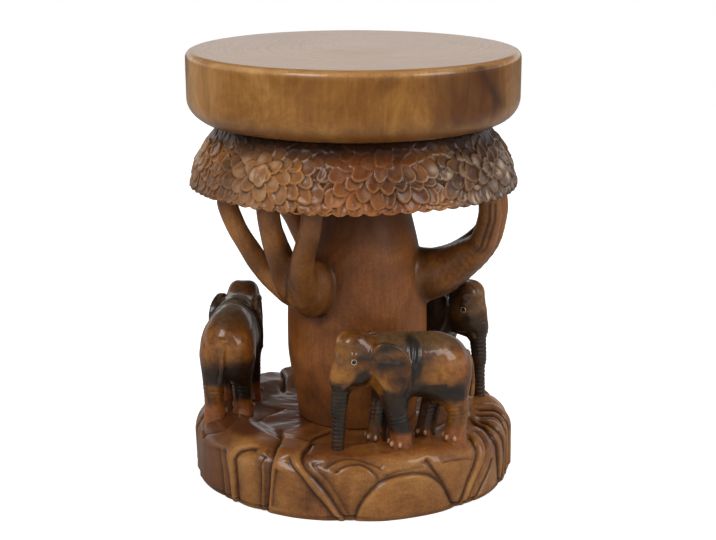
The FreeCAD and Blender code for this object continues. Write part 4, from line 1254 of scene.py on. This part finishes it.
def elephant_paint(points, name, noise_seed):
    """Charred, warm and golden places, nails, and painted light: shade on the far legs and a grey sheen on
    top of the back.
    """
    x, y, z = points.T
    ragged = 7.0 * lattice_noise(x, y, z, 17, noise_seed) + 2.5 * lattice_noise(x, y, z, 7, noise_seed)
    xr, zr = x + ragged, z + ragged * 0.8

    def box(a, b, c, d, soft=8):
        return (smooth_step(xr, a - soft, a + soft) * (1 - smooth_step(xr, b - soft, b + soft))
                * smooth_step(zr, c - soft, c + soft) * (1 - smooth_step(zr, d - soft, d + soft)))

    near_ear = (np.abs(y) > 19 + np.maximum(43 - x, 0) * 0.1) & (x < 44) & (x > 3) & (z > 52)
    scorch_and_shade = np.maximum.reduce([
        box(58, 95, -30, 68),
        box(-2, 34, 13, 62),
        box(-52, 12, 44, 64),
        (1 - smooth_step(np.abs(z - 57), 5, 9)) * (x > -34) * (x < 16) * (y > 0),
        # Far hind leg: shade painted dark
        box(-50, -14, -20, 62) * (y < -2),
        box(-6, 9, 58, 112, 4) * ~near_ear,
        box(44, 62, 64, 85, 4),
        0.7 * box(40, 58, 97, 103, 4),
    ])
    ear_marks = np.maximum.reduce([0.75 * box(10, 36, 83, 95, 5), 0.9 * box(4, 38, 46, 64, 6),
                                   0.6 * box(10, 40, 103, 118, 5)])
    scorch_and_shade = np.where(near_ear, ear_marks, scorch_and_shade)
    feet = 1 - smooth_step(z, 9, 19)
    if name == "right":
        dark = (0.9 - 0.4 * box(50, 90, 84, 130, 6)) * (1 - 0.7 * smooth_step(y, -6, 14))
        scorch_and_shade = np.maximum(scorch_and_shade, dark)
    if name == "front":
        # Front elephant's far legs: shade painted evenly dark, their feet less warm
        far = (y < -3) * (1 - smooth_step(z, 38, 48)) * (x < 56)
        scorch_and_shade = np.where(far > 0, 0.55 * far + scorch_and_shade * (1 - far), scorch_and_shade)
        feet = feet * np.where((y < -3) & (x < 56), 0.25, 1)
    if name == "left":
        scorch_and_shade = np.maximum(scorch_and_shade, box(-90, -14, 14, 60) * np.where(y < 0, 1, 0.75 * (z > 36)))
        scorch_and_shade = np.maximum(scorch_and_shade, 0.8 * near_ear)
    scorch_and_shade = scorch_and_shade * (1 - feet * (x < 56))
    warm = np.clip(0.75 * feet + 0.5 * hill(x, -50, 16) * hill(z, 78, 18), 0, 1)
    gold = np.clip(0.9 * smooth_step(x, 54, 70) * smooth_step(z, 66, 76)
                   + 0.55 * hill(x, -30, 22) * hill(z, 76, 18) * (np.abs(y) > 12)
                   + 0.4 * hill(x, -66, 14) * hill(z, 76, 18) * hill(y, 2, 14), 0, 1)
    gold *= 0.4 if name == "right" else 1
    # Painted sheen: grey-brown over the top of the back and the ears
    tone = np.clip(0.75 * smooth_step(z + 0.4 * ragged, 92, 110) * (x < 34), 0, 1)
    nail = np.zeros(x.shape)
    for nail_x, nail_y in nail_places(0.9):
        away = np.sqrt((x - nail_x) ** 2 + (y - nail_y) ** 2 + ((z - 3.6) * 0.8) ** 2)
        nail = np.maximum(nail, 0.85 * (1 - smooth_step(away, 1.7, 2.8)))
    return {"scorch_and_shade": scorch_and_shade, "warm": warm, "gold": gold, "tone": tone, "nail": nail}


# Each elephant: its turn round the tree, its distance from the axis, its turn inwards, its stature
ELEPHANTS = {"front": (-65, 123, 7, 1.0), "left": (175, 128, 2, 1.0), "right": (43, 109, -12, 1.05)}
# Level of the elephants' feet, a little under the top of the mound
GROUND = 67
ELEPHANT_STEP = 1.12 * COARSE


def place_elephant(points, name):
    """From an elephant's own frame to the stool's."""
    turn, reach, turn_in, stature = ELEPHANTS[name]
    heading = math.radians(turn - 90 - turn_in)
    cos, sin = math.cos(heading), math.sin(heading)
    x, y, z = points.T
    taller = np.where(z > 0, z * stature, z)
    turned = np.stack([x * cos - y * sin, x * sin + y * cos, taller], -1)
    return turned + round_place(turn, reach, GROUND)


def ring_mesh(hand):
    """Points and quads of the ring round a bead, a small torus that faces sideways."""
    angle, turn = np.meshgrid(np.arange(32) * 2 * math.pi / 32, np.arange(12) * 2 * math.pi / 12,
                              indexing="ij")
    reach = RING_RADIUS + RING_WIRE * np.cos(turn)
    points = np.stack([reach * np.cos(angle), hand * RING_WIRE * np.sin(turn),
                       -hand * reach * np.sin(angle)], -1)
    grid = np.arange(angle.size).reshape(angle.shape)
    beside = np.roll(grid, -1, axis=1)
    quads = np.stack([grid, beside, np.roll(beside, -1, axis=0), np.roll(grid, -1, axis=0)], -1)
    return points.reshape(-1, 3), quads.reshape(-1, 4)


def ball_mesh():
    """Points and quads of a bead made from a smoothed cube."""
    work = bmesh.new()
    bmesh.ops.create_cube(work, size=2)
    bmesh.ops.subdivide_edges(work, edges=work.edges[:], cuts=7, use_grid_fill=True)
    places = np.array([list(vertex.co.normalized()) for vertex in work.verts])
    quads = np.array([[vertex.index for vertex in face.verts] for face in work.faces])
    work.free()
    return places * BEAD_RADIUS, quads


def eye_pair():
    """Points and quads of two beads in their rings, and the number of each quad's material."""
    points, faces, kinds = [], [], []
    x, y, z = EYE_PLACE
    total = 0
    for hand in (1, -1):
        for kind, (places, quads) in enumerate((ball_mesh(), ring_mesh(hand))):
            points.append(places + (x, (y + 0.75 * kind) * hand, z))
            faces.append(quads + total)
            kinds += [kind] * len(quads)
            total += len(places)
    return np.concatenate(points), faces, kinds


def make_elephants():
    points, quads = surface_net(elephant_field, (-80, -40, -12), (84, 40, 124), ELEPHANT_STEP)
    eye_points, eye_faces, kinds = eye_pair()
    wood = elephant_material()
    bead = eye_material("eye_bead", linear(18, 12, 9), 0.08)
    ring = eye_material("eye_ring", linear(176, 156, 122), 0.3)
    for number, name in enumerate(ELEPHANTS):
        piece = mesh_object("elephant_" + name + "_carving", place_elephant(points, name), [quads],
                            elephant_paint(points, name, 31 + number))
        stand_for(piece, "elephant_wood", "elephant_" + name, wood)
        eyes = mesh_object("eyes_" + name + "_beads", place_elephant(eye_points, name), eye_faces)
        stand_for(eyes, "eye_bead", "eyes_" + name, bead, ring)
        eyes.data.polygons.foreach_set("material_index", kinds)


def finish_hidden_joinery():
    """The dowels and pegs keep their own solids."""
    wood = dowel_material()
    for name in ("seat_dowels", "limb_dowels", "foot_pegs"):
        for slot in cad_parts[name].material_slots:
            slot.link = "OBJECT"
            slot.material = wood


make_seat()
make_canopy()
make_stem()
make_forks()
make_base()
make_elephants()
finish_hidden_joinery()


# Floor, light and camera

def paper_material(name, colour, lift):
    """Pale paper, lifted to white for the camera; the object's shadow stays."""
    made, nodes, shader = new_material(name)
    dim = tuple(0.4 * channel for channel in colour[:3]) + (1,)
    path = nodes.add("LightPath").outputs
    nodes.feed(shader["Base Color"], nodes.mix(path["Is Glossy Ray"], colour, dim))
    shader["Roughness"].default_value = 0.9
    shader["Emission Color"].default_value = WHITE
    nodes.feed(shader["Emission Strength"], nodes.maths("MULTIPLY", path["Is Camera Ray"], lift))
    return made


# Half the floor's width
FLOOR_REACH = 2400


def make_stage():
    """Pale floor that runs out of view."""
    corners = np.array([(-1, -1, 0), (1, -1, 0), (1, 1, 0), (-1, 1, 0)]) * FLOOR_REACH
    floor = mesh_object("floor", corners, [np.array([(0, 1, 2, 3)])])
    floor.data.materials.append(paper_material("floor_paper", (0.8, 0.8, 0.8, 1), 0.62))


def make_lamp(name, place, target, size, power, mirrored=True):
    """Soft square lamp aimed at a point, seen in the lacquer or not."""
    lamp = bpy.data.lights.new(name, "AREA")
    lamp.shape = "SQUARE"
    lamp.size = size
    lamp.energy = power
    holder = bpy.data.objects.new(name, lamp)
    holder.location = place
    way = Vector(target) - Vector(place)
    holder.rotation_euler = way.to_track_quat("-Z", "Y").to_euler()
    holder.visible_glossy = mirrored
    bpy.context.scene.collection.objects.link(holder)


# Strength of the white surroundings as light on the object, and as seen in its lacquer: dim but
# for a bright strip above the horizon
AMBIENT = 0.52
MIRRORED = 0.1
STRIP = 0.85


def make_world():
    """White surroundings."""
    world = bpy.data.worlds.new("studio")
    world.use_nodes = True
    nodes = Nodes(world.node_tree)

    def between(factor, first, second, low=0, high=1):
        limits = {"From Min": low, "From Max": high, "To Min": first, "To Max": second}
        return nodes.add("MapRange", Value=factor, **limits).outputs["Result"]

    path = nodes.add("LightPath").outputs
    place = nodes.add("TexCoord").outputs["Generated"]
    rise = nodes.add("SeparateXYZ", Vector=place).outputs["Z"]
    strip = between(rise, MIRRORED, between(rise, STRIP, MIRRORED, 0.22, 0.29), 0, 0.03)
    strength = between(path["Is Glossy Ray"], AMBIENT, strip)
    background = world.node_tree.nodes["Background"].inputs
    background["Color"].default_value = WHITE
    nodes.feed(background["Strength"], between(path["Is Camera Ray"], strength, 1))
    bpy.context.scene.world = world


def make_camera():
    """Camera at the photograph's place: level distance, height and downward tilt."""
    camera = bpy.data.cameras.new("camera")
    camera.sensor_width = 36
    camera.lens = 85.34
    camera.shift_x = 0.0063
    holder = bpy.data.objects.new("camera", camera)
    holder.location = (0, -1.7356, 0.6646)
    holder.rotation_euler = (math.radians(90 - 14.51), 0, 0)
    bpy.context.scene.collection.objects.link(holder)
    bpy.context.scene.camera = holder


make_stage()
make_lamp("key", (-1.1, -1.55, 1.9), (0, 0, 0.25), 1.1, 27)
make_lamp("fill", (1.6, -1.1, 1.3), (0, 0, 0.25), 1.0, 16)
make_lamp("back", (0.9, 1.7, 1.7), (0, 0, 0.3), 1.2, 14, mirrored=False)
make_world()
make_camera()
bpy.context.scene.view_settings.view_transform = "Standard"
